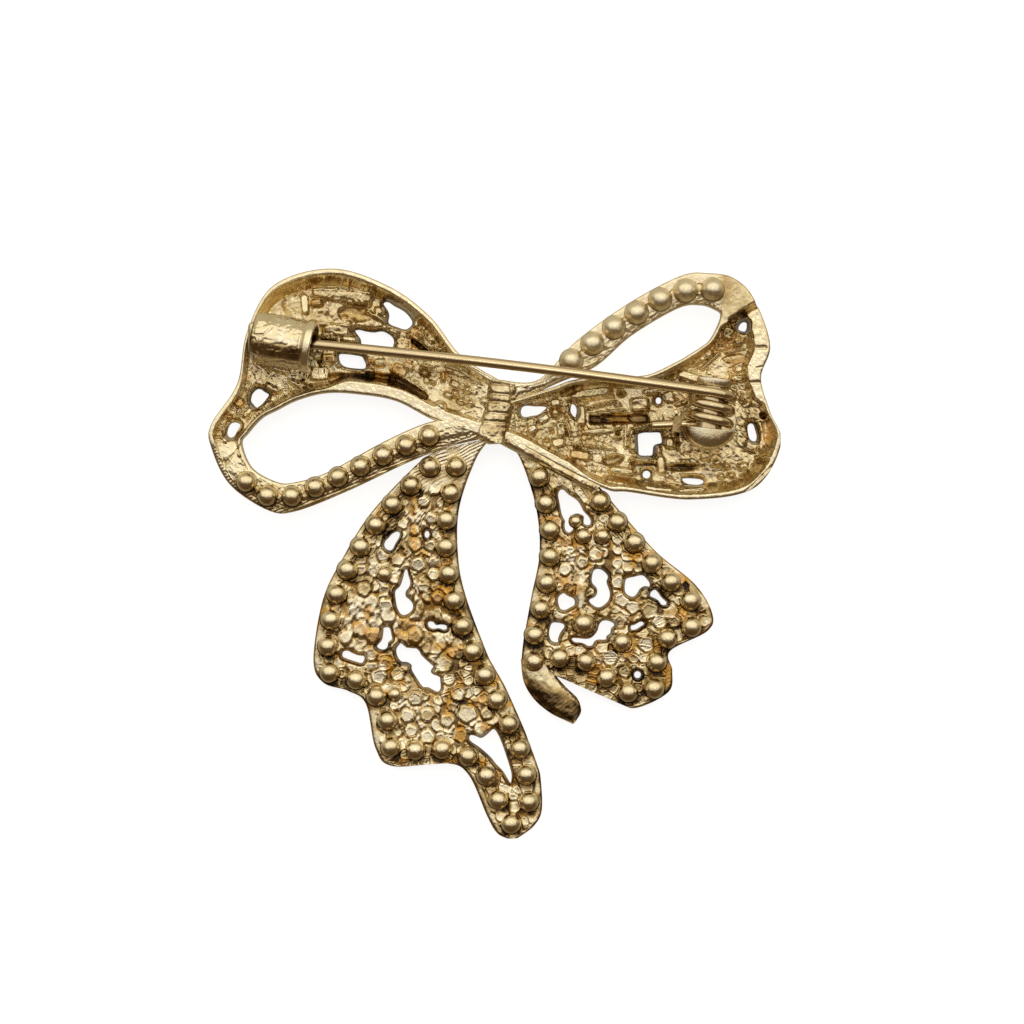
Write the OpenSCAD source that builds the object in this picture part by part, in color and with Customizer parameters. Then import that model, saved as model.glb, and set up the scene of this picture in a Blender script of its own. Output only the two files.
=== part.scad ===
// Bow brooch seen from its back: one pierced casting that lies on its front, with a sprung wire pin.
// X runs along the bow, Y from the tails to the loops, and Z out of the back towards the pin.

/* [Bow] */
// Width over both loops
bow_w = 54.4; // [50:0.1:62]
// Height from the top of the loops to the tip of the longer tail
bow_h = 54.4; // [50:0.1:62]
// Height of the loops' rims above the surface that the front lies on
loop_z = 3.6; // [3.2:0.1:4.2]
// Height of the tails' back face beside the knot
tail_root_z = 3.1; // [2.6:0.1:3.6]
// Height of the tails' back face at the tip of the longer tail
tail_tip_z = 1.5; // [1.3:0.1:2]
// Height of the back of the knot
knot_z = 4; // [3.8:0.1:4.6]

/* [Cast walls] */
// Thickness of the floor of the hollow loops
wall = 1.2; // [1:0.1:1.5]
// Thickness of the loops at their rims
rim_t = 1.6; // [1.3:0.1:2]
// Thickness of the tails
tail_t = 1.3; // [1.1:0.1:1.4]
// Width of the narrow rim along the outer edges
outer_rim = 0.4; // [0.3:0.05:0.6]
// Width of the broad rim around the openings of the loops
inner_rim = 1.1; // [0.8:0.05:1.4]
// Width of the bevel along the edges of the tails
tail_bevel = 0.4; // [0.3:0.05:0.6]
// Height of the round back of the knot, its band and the rolled tip
band_round = 0.7; // [0.5:0.05:0.8]
// Height of the knot's band and of the rolled tip above the tails
band_rise = 0.5; // [0.4:0.05:0.6]

/* [Balls and relief] */
// Diameter of the balls that line the ribbons
ball_d = 2.15; // [1.8:0.05:2.3]
// Height of a ball's centre above the ribbon
ball_lift = 0.2; // [0:0.05:0.4]
// Height of the small pads above the ribbon
pad_rise = 0.35; // [0.2:0.05:0.5]
// Height of the ridges above the floor of the loops
ridge_rise = 0.7; // [0.4:0.05:1]
// Thickness of the ribs across the knot
rib_d = 0.6; // [0.5:0.05:0.7]

/* [Catch] */
// Outer diameter of the catch
catch_d = 5.2; // [5:0.1:5.6]
// Length of the catch from its closed end to its mouth
catch_l = 5.9; // [5.4:0.1:6.4]
// Wall of the catch
catch_wall = 0.7; // [0.5:0.05:0.9]
// Thickness of the catch's closed end
catch_end = 1.6; // [1.3:0.1:1.8]
// Length over which the closed end is rounded
catch_round = 1.3; // [1:0.1:1.6]
// Length of the bevel around the catch's mouth
mouth_bevel = 0.4; // [0.2:0.05:0.5]
// Height of the slot that the pin leaves the catch by
catch_slot = 1.8; // [1.5:0.1:2.2]
// Turn of the catch about Z against the X axis
catch_turn = -10; // [-12:1:-8]

/* [Pin] */
// Diameter of the pin wire
wire_d = 0.95; // [0.8:0.05:1.05]
// Height of the stem's centre line
stem_z = 5.9; // [5.8:0.1:6.4]
// Length of the stem from the coil to its point
stem_l = 41.2; // [40.5:0.1:41.8]
// Sideways bend of the stem at its middle
stem_bend = 0.3; // [0:0.05:0.4]
// Length of the ground point
point_l = 3; // [2:0.1:4]
// Outer diameter of the coil
coil_d = 4.7; // [4.4:0.1:5]
// Advance of the coil for each turn
coil_pitch = 1.25; // [1.2:0.01:1.4]
// Length of the fixed end of the wire
leg_l = 4.6; // [4:0.1:4.8]
// Length of the fixed end that lies under the coil
leg_under = 1.55; // [1.3:0.05:1.6]

/* [Hinge] */
// Diameter of the round boss that holds the coil
boss_d = 5.5; // [5.2:0.1:5.8]
// Height of the boss's dome above the middle of the post
boss_rise = 1.65; // [1.5:0.05:1.8]
// Reach of the boss's centre under the coil, from the face beside the coil's last turn
boss_in = 0.75; // [0.5:0.05:1]
// Gap between the coil and the post, the boss and the casting
coil_gap = 0.15; // [0.1:0.01:0.2]
// Gap at each end of the post, and round the fixed end of the wire
seat_gap = 0.05; // [0.03:0.01:0.08]
// Thickness of the ear that holds the far end of the post
ear_t = 0.8; // [0.6:0.05:1]
// Width of the ear at its foot
ear_w = 3.4; // [3:0.1:4]
// Thickness of the lug that grips the fixed end of the wire
lug_t = 0.85; // [0.7:0.05:1]
// Width of the lug
lug_w = 1.5; // [1.4:0.05:1.8]
// Metal of the ear around the post's end, and of the lug over the wire
seat_wall = 0.35; // [0.3:0.05:0.5]

/* [Hidden] */

gilt = [0.83, 0.69, 0.43];
gilt_wire = [0.88, 0.76, 0.52];

BALL_SIDES = 8;
HOLE_SIDES = 6;
PAD_SIDES = 4;
RIDGE_SIDES = 8;
FOOT_SIDES = 12;
ROUND_SIDES = 20;
POST_SIDES = 24;
WIRE_SIDES = 10;
LOOP_STEPS = 2;   // sections worked out for each row of a loop's table
TAIL_STEPS = 1;   // and for each row of the other ribbons' tables
PATH_STEPS = 4;   // straight steps for each row of a path of balls
STEM_STEPS = 12;  // sections of the wire along the stem
TURN_STEPS = 12;  // and for each turn of the coil
PAD_TURN = 37;    // turn from each pad to the next, in degrees
POINT_TIP = 0.12; // share of the wire's thickness at its very point
SINK = 0.1;       // depth that relief is let into the floor
CUT = 1;          // length that a cut runs past what it cuts
TINY = 0.0001;

wire_r = wire_d / 2;
coil_r = (coil_d - wire_d) / 2;
coil_z = stem_z - coil_r;
post_r = coil_r - wire_r - coil_gap;
COIL_TURNS = 2.25;

// Places in the tables are shares of the bow, in percent of its width and height from its middle.
function place(x, y) = [x / 100 * bow_w, y / 100 * bow_h];

// The ribbons are tables of stations along them.
// Each row of a loop: outer edge x, outer edge y, inner edge x, inner edge y, share of the full hollow.
LEFT_LOOP = [
    [1.7, 30.0, -2.5, 20.7, 0.1],
    [-5.7, 34.6, -10.6, 23.5, 0.6],
    [-11.3, 41.6, -17.2, 26.8, 0.9],
    [-18.6, 46.9, -23.8, 28.0, 1],
    [-28.4, 49.9, -29.4, 28.2, 1],
    [-38.5, 47.0, -34.3, 27.0, 1],
    [-43.2, 38.8, -38.0, 25.2, 1],
    [-44.9, 29.8, -40.6, 23.8, 0.9],
    [-49.4, 22.8, -43.0, 21.2, 0.6],
    [-49.5, 18.9, -44.1, 19.3, 0.2],
    [-46.3, 12.3, -42.3, 15.1, 0],
    [-39.5, 7.7, -38.1, 12.7, 0],
    [-34.6, 7.6, -35.7, 12.5, 0],
    [-25.2, 11.3, -29.1, 14.4, 0],
    [-15.1, 16.1, -19.3, 19.7, 0],
    [-8.0, 18.8, -12.0, 22.9, 0],
    [-1.8, 20.3, -6.0, 24.0, 0],
];
RIGHT_LOOP = [
    [1.0, 30.5, 3.1, 26.3, 0],
    [7.6, 30.5, 10.7, 29.8, 0],
    [14.2, 37.2, 17.7, 32.9, 0],
    [23.3, 43.8, 24.0, 38.3, 0],
    [32.4, 48.6, 32.0, 43.0, 0],
    [37.3, 49.1, 35.9, 43.6, 0],
    [41.8, 48.2, 38.5, 42.8, 0],
    [45.3, 44.6, 39.5, 41.6, 0.2],
    [48.1, 36.6, 37.8, 37.8, 0.7],
    [46.5, 30.8, 36.0, 36.2, 1],
    [48.1, 24.9, 34.1, 35.0, 1],
    [50.0, 19.3, 31.7, 33.6, 1],
    [45.3, 11.6, 26.4, 31.3, 1],
    [34.5, 9.6, 20.2, 31.2, 1],
    [23.6, 10.9, 13.9, 30.5, 0.9],
    [19.5, 11.4, 10.7, 29.4, 0.8],
    [11.4, 15.4, 7.6, 28.4, 0.6],
    [4.5, 18.9, 4.1, 27.3, 0.4],
    [-0.8, 20.3, 1.0, 26.3, 0.1],
];
// Each row of a tail, the rolled tip, the knot and its band: edge x, edge y, other edge x, other edge y.
LEFT_TAIL = [
    [-10.2, 18.2, -0.4, 20.5],
    [-14.0, 15.4, -3.2, 16.8],
    [-21.7, 7.2, -6.2, 8.1],
    [-26.6, -0.6, -6.4, -0.3],
    [-30.1, -7.9, -5.1, -7.2],
    [-31.8, -18.4, -1.5, -17.0],
    [-30.1, -22.5, -0.1, -19.8],
    [-25.7, -24.0, 1.1, -21.9],
    [-22.6, -26.3, 2.2, -24.0],
    [-20.9, -34.1, 5.0, -30.3],
    [-17.9, -37.2, 6.0, -32.9],
    [-8.5, -36.7, 7.6, -37.3],
    [-4.6, -38.7, 8.1, -39.4],
    [-1.3, -46.0, 8.3, -44.9],
    [0.4, -48.9, 6.9, -47.7],
    [2.2, -49.9, 4.1, -49.8],
];
RIGHT_TAIL = [
    [2.0, 20.0, 11.4, 15.4],
    [4.5, 16.7, 16.7, 13.4],
    [7.2, 8.5, 22.3, 7.2],
    [7.9, 0.4, 28.4, 0.4],
    [6.5, -7.2, 35.2, -5.3],
    [5.5, -12.7, 38.2, -10.4],
    [5.1, -14.9, 37.3, -13.5],
    [4.8, -17.5, 30.8, -17.0],
    [4.8, -18.6, 31.2, -20.5],
    [5.5, -19.5, 30.5, -24.2],
    [8.3, -20.3, 24.7, -27.0],
    [9.7, -20.6, 21.2, -25.4],
    [11.8, -20.7, 14.2, -21.2],
];
ROLLED_TIP = [
    [4.6, -18.4, 9.9, -19.5],
    [5.1, -22.3, 11.1, -21.7],
    [6.9, -25.4, 12.8, -23.6],
    [9.7, -27.8, 14.6, -25.4],
    [12.5, -29.2, 15.2, -27.5],
    [13.7, -29.8, 14.4, -29.1],
];
KNOT = [
    [-1.0, 30.6, 4.5, 29.4],
    [-1.7, 25.6, 3.4, 25.6],
    [-3.2, 21.0, 2.4, 21.4],
    [-1.1, 19.3, 2.0, 19.5],
];
KNOT_BAND = [
    [2.4, 22.1, 1.0, 19.3],
    [11.4, 16.1, 9.7, 14.7],
    [19.1, 12.3, 17.0, 10.9],
];

// Rows of balls. Each row: number of balls, 0 on a loop or 1 on a tail, then the path that they follow.
BALL_ROWS = [
    [9, 0, [[-43.2, 12.7], [-39.4, 10.2], [-35.3, 10.2], [-27.5, 13.4], [-19.6, 17.2], [-11.4, 20.7]]],
    [7, 0, [[13.4, 33.8], [20.7, 39.5], [28.7, 44.4], [33.2, 46.0], [38.0, 46.2]]],
    [10, 1, [[-11.3, 15.3], [-18.1, 8.5], [-23.6, 1.1], [-27.7, -7.1], [-29.2, -15.8], [-28.9, -20.7]]],
    [4, 1, [[-24.3, -21.9], [-20.7, -24.9], [-18.9, -28.7], [-18.2, -33.8]]],
    [6, 1, [[-13.9, -34.3], [-9.3, -34.1], [-4.8, -35.3], [-1.5, -38.7], [0.6, -43.0], [2.9, -47.2]]],
    [14, 1, [[-6.7, 15.4], [-8.5, 5.3], [-7.9, -4.6], [-5.0, -14.2], [-1.3, -22.1], [4.6, -34.6],
        [6.0, -43.4]]],
    [8, 1, [[7.8, 13.5], [9.7, 4.6], [9.2, -4.6], [7.1, -13.7], [6.9, -18.8]]],
    [5, 1, [[11.4, -18.1], [16.1, -18.8], [19.8, -21.7], [23.5, -24.2], [28.0, -23.5]]],
    [3, 1, [[28.4, -18.9], [30.1, -14.9], [34.5, -12.7]]],
    [6, 1, [[34.3, -8.1], [27.7, -1.7], [24.7, 1.8], [18.4, 9.3]]],
];
// Single balls. Each row: x, y, 0 on a loop or 1 on a tail, share of the balls' diameter.
SINGLE_BALLS = [
    [15.6, -12.1, 1, 1.1],
    [22.3, -15.4, 1, 0.95],
    [14.2, 5.8, 1, 0.65],
    [15.5, 3.2, 1, 0.8],
    [18.9, 3.2, 1, 0.8],
    [-17.5, -24.5, 1, 0.7],
    [-19.3, -3.4, 1, 0.8],
];
// Small flat pads cast on the field of the tails. Each row: x, y, width across in percent of the bow.
PADS = [
    [-12.5, 9.2, 2.2], [-14.0, 4.1, 1.9], [-11.1, 6.2, 2.2], [-16.1, 5.3, 2.1], [-11.3, 1.5, 2.3],
    [-13.9, 1.6, 2.4], [-19.5, -0.1, 2.6], [-17.0, -1.0, 2.4], [-13.4, -1.8, 2.6], [-10.7, -3.6, 2.3],
    [-10.0, -7.6, 2.2], [-22.9, -6.2, 2.6], [-19.1, -9.0, 2.7], [-18.6, -10.9, 2.8], [-14.0, -10.4, 2.6],
    [-23.5, -13.2, 2.9], [-21.2, -14.4, 2.9], [-26.1, -14.6, 2.5], [-21.6, -17.5, 2.7], [-17.7, -15.8, 2.1],
    [-19.1, -19.3, 2.6], [-17.0, -21.0, 2.6], [-20.3, -21.4, 2.8], [-15.6, -19.6, 1.9], [-10.7, -20.2, 1.9],
    [-8.8, -19.3, 2.9], [-13.9, -14.4, 2.7], [-8.1, -21.9, 2.3], [-13.9, -25.4, 2.6], [-6.5, -24.5, 2.7],
    [-8.3, -29.2, 2.6], [-15.3, -28.4, 2.6], [-14.7, -31.0, 2.4], [-11.8, -32.0, 2.6], [-6.0, -31.8, 2.6],
    [-2.4, -30.8, 2.4], [-15.0, -7.0, 2.0], [-11.8, -28.2, 2.6], [-4.8, -28.0, 3.4], [-1.4, -28.0, 2.2],
    [21.6, -5.0, 2.5], [22.3, -8.0, 2.7], [24.2, -9.3, 2.5], [27.1, -9.9, 3.0], [30.8, -10.0, 2.9],
    [26.4, -6.9, 1.9], [28.9, -11.8, 2.6], [31.5, -11.8, 2.1], [19.3, -10.0, 2.1], [11.4, -10.4, 2.6],
    [12.1, -14.2, 2.1], [21.9, -11.8, 2.5], [25.9, -13.7, 2.4], [26.6, -15.8, 2.9], [18.8, -16.1, 2.7],
    [20.3, -18.1, 2.9], [12.3, -2.7, 2.4], [15.4, -1.5, 2.3], [17.7, -0.1, 2.6], [22.8, -20.6, 2.2],
];
// Ridges. Each row: x and y at one end, x and y at the other, width in percent of the bow,
// and 0 on a loop or 1 on a tail.
RIDGES = [
    [-32.0, 45.6, -22.4, 44.6, 2.0, 0],
    [-24.0, 40.6, -15.2, 38.4, 1.3, 0],
    [-13.9, 38.8, -9.0, 34.4, 1.0, 0],
    [-28.0, 36.8, -22.0, 31.6, 1.2, 0],
    [-19.5, 31.5, -9.0, 27.0, 1.1, 0],
    [-12.5, 33.0, -6.0, 28.0, 1.3, 0],
    [-19.4, 42.6, -19.2, 42.5, 2.4, 0],
    [12.5, 26.0, 21.0, 26.2, 2.4, 0],
    [17.5, 24.4, 26.5, 22.6, 1.4, 0],
    [13.5, 21.2, 24.0, 20.3, 1.9, 0],
    [10.4, 24.7, 10.6, 24.5, 2.6, 0],
    [21.5, 22.4, 21.7, 22.3, 2.0, 0],
    [11.2, 19.6, 11.5, 19.5, 2.6, 0],
    [28.0, 27.2, 28.2, 25.0, 2.2, 0],
    [17.0, 16.4, 23.5, 14.2, 2.0, 0],
    [28.5, 15.6, 38.5, 14.0, 1.6, 0],
    [41.0, 34.0, 45.5, 33.2, 2.4, 0],
    [15.1, -4.0, 15.1, -9.6, 2.0, 1],
];
// Gaps cut right through. Each row: x, y, length and width in percent of the bow, turn in degrees.
GAPS = [
    [-17.0, 41.8, 6.2, 3.2, -38],
    [-21.2, 37.8, 6.9, 2.8, -12],
    [-25.0, 33.8, 4.8, 2.0, -6],
    [-41.4, 27.5, 3.2, 2.7, 55],
    [-45.8, 21.9, 2.9, 2.0, 62],
    [6.9, 25.2, 4.6, 1.9, 3],
    [13.8, 25.2, 2.3, 1.2, -75],
    [28.7, 27.0, 1.1, 1.0, 90],
    [26.6, 19.5, 4.3, 2.8, 90],
    [28.0, 20.7, 3.0, 2.2, 0],
    [26.5, 13.9, 1.8, 1.6, 0],
    [43.6, 40.0, 1.8, 1.2, 70],
    [45.3, 21.5, 3.1, 1.5, -72],
    [34.8, 12.9, 3.4, 0.9, -8],
    [-18.1, 2.4, 3.7, 1.9, 56],
    [-12.0, 3.5, 1.4, 1.1, 90],
    [-15.7, -4.8, 4.8, 1.5, 86],
    [-16.1, -8.3, 4.8, 3.1, 90],
    [-10.0, -12.5, 3.4, 1.3, -14],
    [-19.0, -14.9, 4.0, 1.7, 68],
    [-24.9, -18.1, 4.2, 1.5, -14],
    [-13.2, -20.2, 10.4, 3.7, -47],
    [-1.8, -32.5, 5.2, 2.2, -14],
    [-0.8, -34.1, 5.4, 2.3, -42],
    [1.0, -35.5, 9.0, 2.1, -66],
    [12.7, 7.8, 7.0, 2.2, -77],
    [14.2, 9.0, 4.7, 2.7, -50],
    [16.1, 6.5, 2.8, 1.4, -66],
    [18.4, -4.3, 3.7, 2.4, 90],
    [18.8, -7.6, 3.7, 2.9, 80],
    [24.7, -5.4, 4.3, 2.9, 20],
    [28.7, -7.4, 3.2, 1.2, -40],
    [12.7, -8.3, 3.0, 2.7, 0],
    [10.7, -13.7, 3.5, 2.1, 75],
    [19.5, -13.4, 4.0, 2.2, 58],
    [15.8, -15.1, 5.0, 1.5, 4],
    [25.0, -12.7, 2.4, 1.1, 22],
    [25.0, -21.2, 1.4, 1.4, 0],
];
// Ribs across the back of the knot. Each row: x and y of the left end. RIB_L is their length, in percent too.
KNOT_RIBS = [[-1.0, 29.6], [-1.4, 28.0], [-1.8, 26.6], [-2.2, 24.8], [-2.6, 23.0]];
RIB_L = 4.8;

// Places of the findings, in percent of the bow.
CATCH_AT = [-36.6, 36.9];
COIL_AT = [37.7, 25.6];
// Corners of the catch's foot. Each row: x in shares of the catch's length, then y and width in shares
// of its diameter.
CATCH_FOOT = [
    [0.27, 0.23, 0.35],
    [-0.3, 0.23, 0.46],
    [-0.44, -0.06, 0.38],
];
// The tails' back face falls from the first to the second of these heights, in shares of the bow's height.
TAIL_FALL = [0.5, -0.33];
CATCH_TILT = 5; // upward tilt of the catch's mouth, in degrees
LEG_TURN = 9;   // turn of the wire's fixed end against the stem, in degrees

catch_at = place(CATCH_AT.x, CATCH_AT.y);
coil_at = place(COIL_AT.x, COIL_AT.y);
coil_len = COIL_TURNS * coil_pitch + wire_d;
coil_half = coil_len / 2 - wire_r;             // from the coil's middle to the middle of its end turns
face_at = coil_len / 2 + coil_gap;             // from the coil's middle to the faces beside it
leg_from = leg_under - coil_d / 2;             // where the wire's fixed end begins, from the post's middle
lug_from = -coil_d / 2 - coil_gap - lug_t;     // where the lug begins
leg_at_lug = -coil_half - coil_gap - (leg_from - lug_from - lug_t / 2) * tan(LEG_TURN);
to_catch = catch_at - coil_at;
stem_turn = atan2(to_catch.y, to_catch.x) + asin(coil_half / norm(to_catch));

// Height of the back face of a tail at the height y of the bow, on a smooth curve from the knot to the tip.
function tail_z(y) =
    let (t = max(0, min(1, (TAIL_FALL[0] - y / bow_h) / (TAIL_FALL[0] - TAIL_FALL[1]))))
    tail_root_z + (tail_tip_z - tail_root_z) * t * t * (3 - 2 * t);
function back_z(y, on_tail) = on_tail == 1 ? tail_z(y) : loop_z;

// A curve through the rows of a table, at the place s counted in rows.
function row_at(rows, s) =
    let (
        i = min(floor(s), len(rows) - 2),
        t = s - i,
        a = rows[max(i - 1, 0)],
        b = rows[i],
        c = rows[i + 1],
        d = rows[min(i + 2, len(rows) - 1)]
    )
    0.5 * (2 * b + (c - a) * t + (2 * a - 5 * b + 4 * c - d) * t * t + (3 * b - a - 3 * c + d) * t * t * t);

// Faces of a closed skin over rings of n points each, which run clockwise seen from the first ring.
function skin_faces(rings, n) = concat(
    [[for (k = [0 : n - 1]) k]],
    [for (r = [0 : rings - 2], k = [0 : n - 1]) [r * n + k, (r + 1) * n + k, r * n + (k + 1) % n]],
    [for (r = [0 : rings - 2], k = [0 : n - 1])
        [(r + 1) * n + k, (r + 1) * n + (k + 1) % n, r * n + (k + 1) % n]],
    [[for (k = [n - 1 : -1 : 0]) (rings - 1) * n + k]]
);

// Rings in the order that turns their skin outwards, whichever way a ribbon runs.
function outward(rings) =
    let (side = rings[0][1] - rings[0][0], run = rings[1][0] - rings[0][0])
    cross([side.x, side.y], [run.x, run.y]) > 0 ? rings : [for (k = [len(rings) - 1 : -1 : 0]) rings[k]];

module skin(rings) {
    n = len(rings[0]);
    polyhedron(points = [for (ring = rings) each ring], faces = skin_faces(len(rings), n), convexity = 8);
}

// Section of a hollow loop: rims at the loop's height, a sunk floor, and a round front that touches z = 0.
function loop_section(row) =
    let (
        a = place(row[0], row[1]),
        b = place(row[2], row[3]),
        width = norm(b - a),
        rim_a = min(0.3, outer_rim / width),
        rim_b = min(0.35, inner_rim / width),
        deep = max(0, min(1, row[4])) * (loop_z - wall),
        floor_z = loop_z - deep,
        low = min(loop_z - rim_t, floor_z - wall),
        back = [[0, loop_z - 0.13 * rim_t], [rim_a, loop_z], [rim_a + 0.12, floor_z], [0.5, floor_z],
            [0.9 - rim_b, floor_z], [1 - rim_b, loop_z], [1, loop_z - 0.19 * rim_t]],
        front = [[1, loop_z - rim_t], [0.78, low + 0.12 * deep], [0.5, low], [0.22, low + 0.12 * deep],
            [0, loop_z - rim_t]]
    )
    [for (p = concat(back, front)) let (q = a + (b - a) * p[0]) [q.x, q.y, p[1]]];

// Section of a flat tail: a level back between two bevelled edges, and a front that curves in at its edges.
function tail_section(row) =
    let (
        a = place(row[0], row[1]),
        b = place(row[2], row[3]),
        rim = min(0.3, tail_bevel / max(norm(b - a), TINY)),
        section = [[0, -0.2], [rim, 0], [1 - rim, 0], [1, -0.2], [1, -0.73], [1 - rim, -1], [rim, -1],
            [0, -0.73]]
    )
    [for (p = section) let (q = a + (b - a) * p[0]) [q.x, q.y, tail_z(q.y) + p[1] * tail_t]];

// Section of a solid band that is round on both sides: top is the height of its back, low that of its front.
function band_section(row, top, low) =
    let (
        a = place(row[0], row[1]),
        b = place(row[2], row[3]),
        back = [[0, -1], [0.2, -0.2], [0.5, 0], [0.8, -0.2], [1, -1]],
        front = [[1, 0.7], [0.7, 0], [0.3, 0], [0, 0.7]],
        heights = [top, low]
    )
    [for (k = [0, 1], p = [back, front][k])
        let (q = a + (b - a) * p[0]) [q.x, q.y, heights[k] + p[1] * band_round]];

function stations(rows, steps) = [for (k = [0 : (len(rows) - 1) * steps]) row_at(rows, k / steps)];

module loop(rows) {
    skin(outward([for (row = stations(rows, LOOP_STEPS)) loop_section(row)]));
}

module tail(rows) {
    skin(outward([for (row = stations(rows, TAIL_STEPS)) tail_section(row)]));
}

module rolled_tip() {
    skin(outward([for (row = stations(ROLLED_TIP, TAIL_STEPS))
        let (z = tail_z(row[1] / 100 * bow_h)) band_section(row, z + band_rise, z - tail_t)]));
}

module knot() {
    skin(outward([for (row = stations(KNOT, TAIL_STEPS)) band_section(row, knot_z, 0)]));
    skin(outward([for (row = stations(KNOT_BAND, TAIL_STEPS))
        band_section(row, tail_root_z + band_rise, tail_root_z - tail_t)]));
    for (row = KNOT_RIBS) {
        at = place(row[0], row[1]);
        translate([at.x, at.y, knot_z - rib_d / 3])
            rotate([0, 90, 0]) cylinder(d = rib_d, h = place(RIB_L, 0).x, $fn = BALL_SIDES);
    }
}

// Lengths along a path of straight steps, and the point at the distance d along it.
function lengths(p, i = 0, sum = 0) =
    i >= len(p) - 1 ? [sum] : concat([sum], lengths(p, i + 1, sum + norm(p[i + 1] - p[i])));
function point_at(p, ends, d) =
    let (i = max([for (k = [0 : len(p) - 2]) ends[k] <= d + TINY ? k : 0]))
    p[i] + (p[i + 1] - p[i]) * (d - ends[i]) / (ends[i + 1] - ends[i]);

module ball(at, on_tail, share = 1) {
    translate([at.x, at.y, back_z(at.y, on_tail) + ball_lift])
        sphere(d = ball_d * share, $fn = BALL_SIDES);
}

module ball_row(count, on_tail, path) {
    curve = [for (q = stations(path, PATH_STEPS)) place(q.x, q.y)];
    ends = lengths(curve);
    for (k = [0 : count - 1])
        ball(point_at(curve, ends, ends[len(ends) - 1] * k / (count - 1)), on_tail);
}

module balls() {
    for (row = BALL_ROWS) ball_row(row[0], row[1], row[2]);
    for (row = SINGLE_BALLS) ball(place(row[0], row[1]), row[2], row[3]);
}

module pads() {
    for (k = [0 : len(PADS) - 1]) {
        at = place(PADS[k][0], PADS[k][1]);
        translate([at.x, at.y, tail_z(at.y) - tail_t / 2])
            rotate(k * PAD_TURN)
                cylinder(d = PADS[k][2] / 100 * bow_w, h = tail_t / 2 + pad_rise, $fn = PAD_SIDES);
    }
}

module ridges() {
    for (row = RIDGES) {
        a = place(row[0], row[1]);
        b = place(row[2], row[3]);
        w = row[4] / 100 * bow_w;
        low = row[5] == 1 ? tail_z(a.y) - tail_t / 2 : wall - SINK;
        top = row[5] == 1 ? tail_z(a.y) + pad_rise : wall + ridge_rise;
        hull() {
            translate([a.x, a.y, low]) cylinder(d = w, h = top - low, $fn = RIDGE_SIDES);
            translate([b.x, b.y, low]) cylinder(d = w, h = top - low, $fn = RIDGE_SIDES);
        }
    }
}

module gaps() {
    for (g = GAPS) {
        at = place(g[0], g[1]);
        translate([at.x, at.y, -CUT])
            rotate(g[4])
                linear_extrude(loop_z + 2 * CUT)
                    polygon([for (k = [0 : HOLE_SIDES - 1])
                        let (t = 360 * (k + 0.5) / HOLE_SIDES)
                        [cos(t) * g[2] / 200 * bow_w, sin(t) * g[3] / 200 * bow_w]]);
    }
}

// The catch is a barrel with a round closed end. Its mouth faces the coil, and a slot runs along its side.
module catch() {
    end_z = -catch_l / 2;
    mouth_z = catch_l / 2;
    r = catch_d / 2;
    barrel = [[0, end_z], [0.7 * r, end_z], [0.92 * r, end_z + 0.4 * catch_round], [r, end_z + catch_round],
        [r, mouth_z - mouth_bevel], [r - 0.75 * mouth_bevel, mouth_z], [0, mouth_z]];
    translate([catch_at.x, catch_at.y, stem_z])
        rotate([0, 0, catch_turn])
            rotate([0, 90 - CATCH_TILT, 0])
                difference() {
                    rotate_extrude($fn = ROUND_SIDES) polygon(barrel);
                    translate([0, 0, end_z + catch_end])
                        cylinder(d = catch_d - 2 * catch_wall, h = catch_l, $fn = ROUND_SIDES);
                    translate([catch_d * 0.12, -catch_d, end_z + catch_end])
                        cube([catch_slot, catch_d, catch_l]);
                }
}

// The foot of the catch stands on the floor of the loop and runs into its rim.
module catch_foot() {
    top = stem_z - catch_d * 0.2;
    lows = [wall - SINK, loop_z - rim_t / 2];
    for (k = [0, 1])
        hull()
            for (corner = [CATCH_FOOT[k], CATCH_FOOT[k + 1]])
                translate([catch_at.x + corner[0] * catch_l, catch_at.y + corner[1] * catch_d, lows[k]])
                    cylinder(d = corner[2] * catch_d, h = top - lows[k], $fn = FOOT_SIDES);
}

// Frame of the coil: the stem leaves along its negative first axis, and the post lies along its second.
module at_coil() {
    translate([coil_at.x, coil_at.y, coil_z]) rotate([0, 0, stem_turn - 180]) children();
}

// Straight fixed end of the wire, from under the coil outwards.
module leg_wire(d) {
    translate([leg_from, -coil_half - coil_gap, -coil_r])
        rotate([0, 0, 180 + LEG_TURN])
            rotate([0, 90, 0]) cylinder(d = d, h = leg_l, $fn = POST_SIDES);
}

// The boss is a low round seat under the coil, and a dome beside it that holds the near end of the post.
// An ear holds the post's far end, and a lug beside the coil grips the fixed end of the wire.
module hinge_seat() {
    dome_r = boss_d / 2;
    seat_h = coil_z - coil_r - wire_r - coil_gap;
    round_back = [[1, -0.36], [0.9, 0.18], [0.7, 0.61], [0.38, 0.91], [0, 1]];
    dome = concat([[0, wall / 2], [dome_r, wall / 2]],
        [for (p = round_back) [p[0] * dome_r, coil_z + p[1] * boss_rise]]);
    translate([0, boss_in - face_at, -coil_z]) {
        translate([0, 0, wall / 2]) cylinder(r = dome_r, h = seat_h - wall / 2, $fn = ROUND_SIDES);
        intersection() {
            rotate_extrude($fn = ROUND_SIDES) polygon(dome);
            translate([-boss_d, -boss_in - boss_d, 0]) cube([2 * boss_d, boss_d, 2 * coil_z]);
        }
    }
    hull() {
        translate([0, face_at, 0])
            rotate([-90, 0, 0]) cylinder(r = post_r + seat_wall, h = ear_t, $fn = ROUND_SIDES);
        translate([-ear_w / 2, face_at, wall / 2 - coil_z]) cube([ear_w, ear_t, wall / 2]);
    }
    translate([lug_from, leg_at_lug - lug_w / 2, wall / 2 - coil_z])
        cube([lug_t, lug_w, coil_z - coil_r + wire_r + seat_wall - wall / 2]);
}

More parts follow.
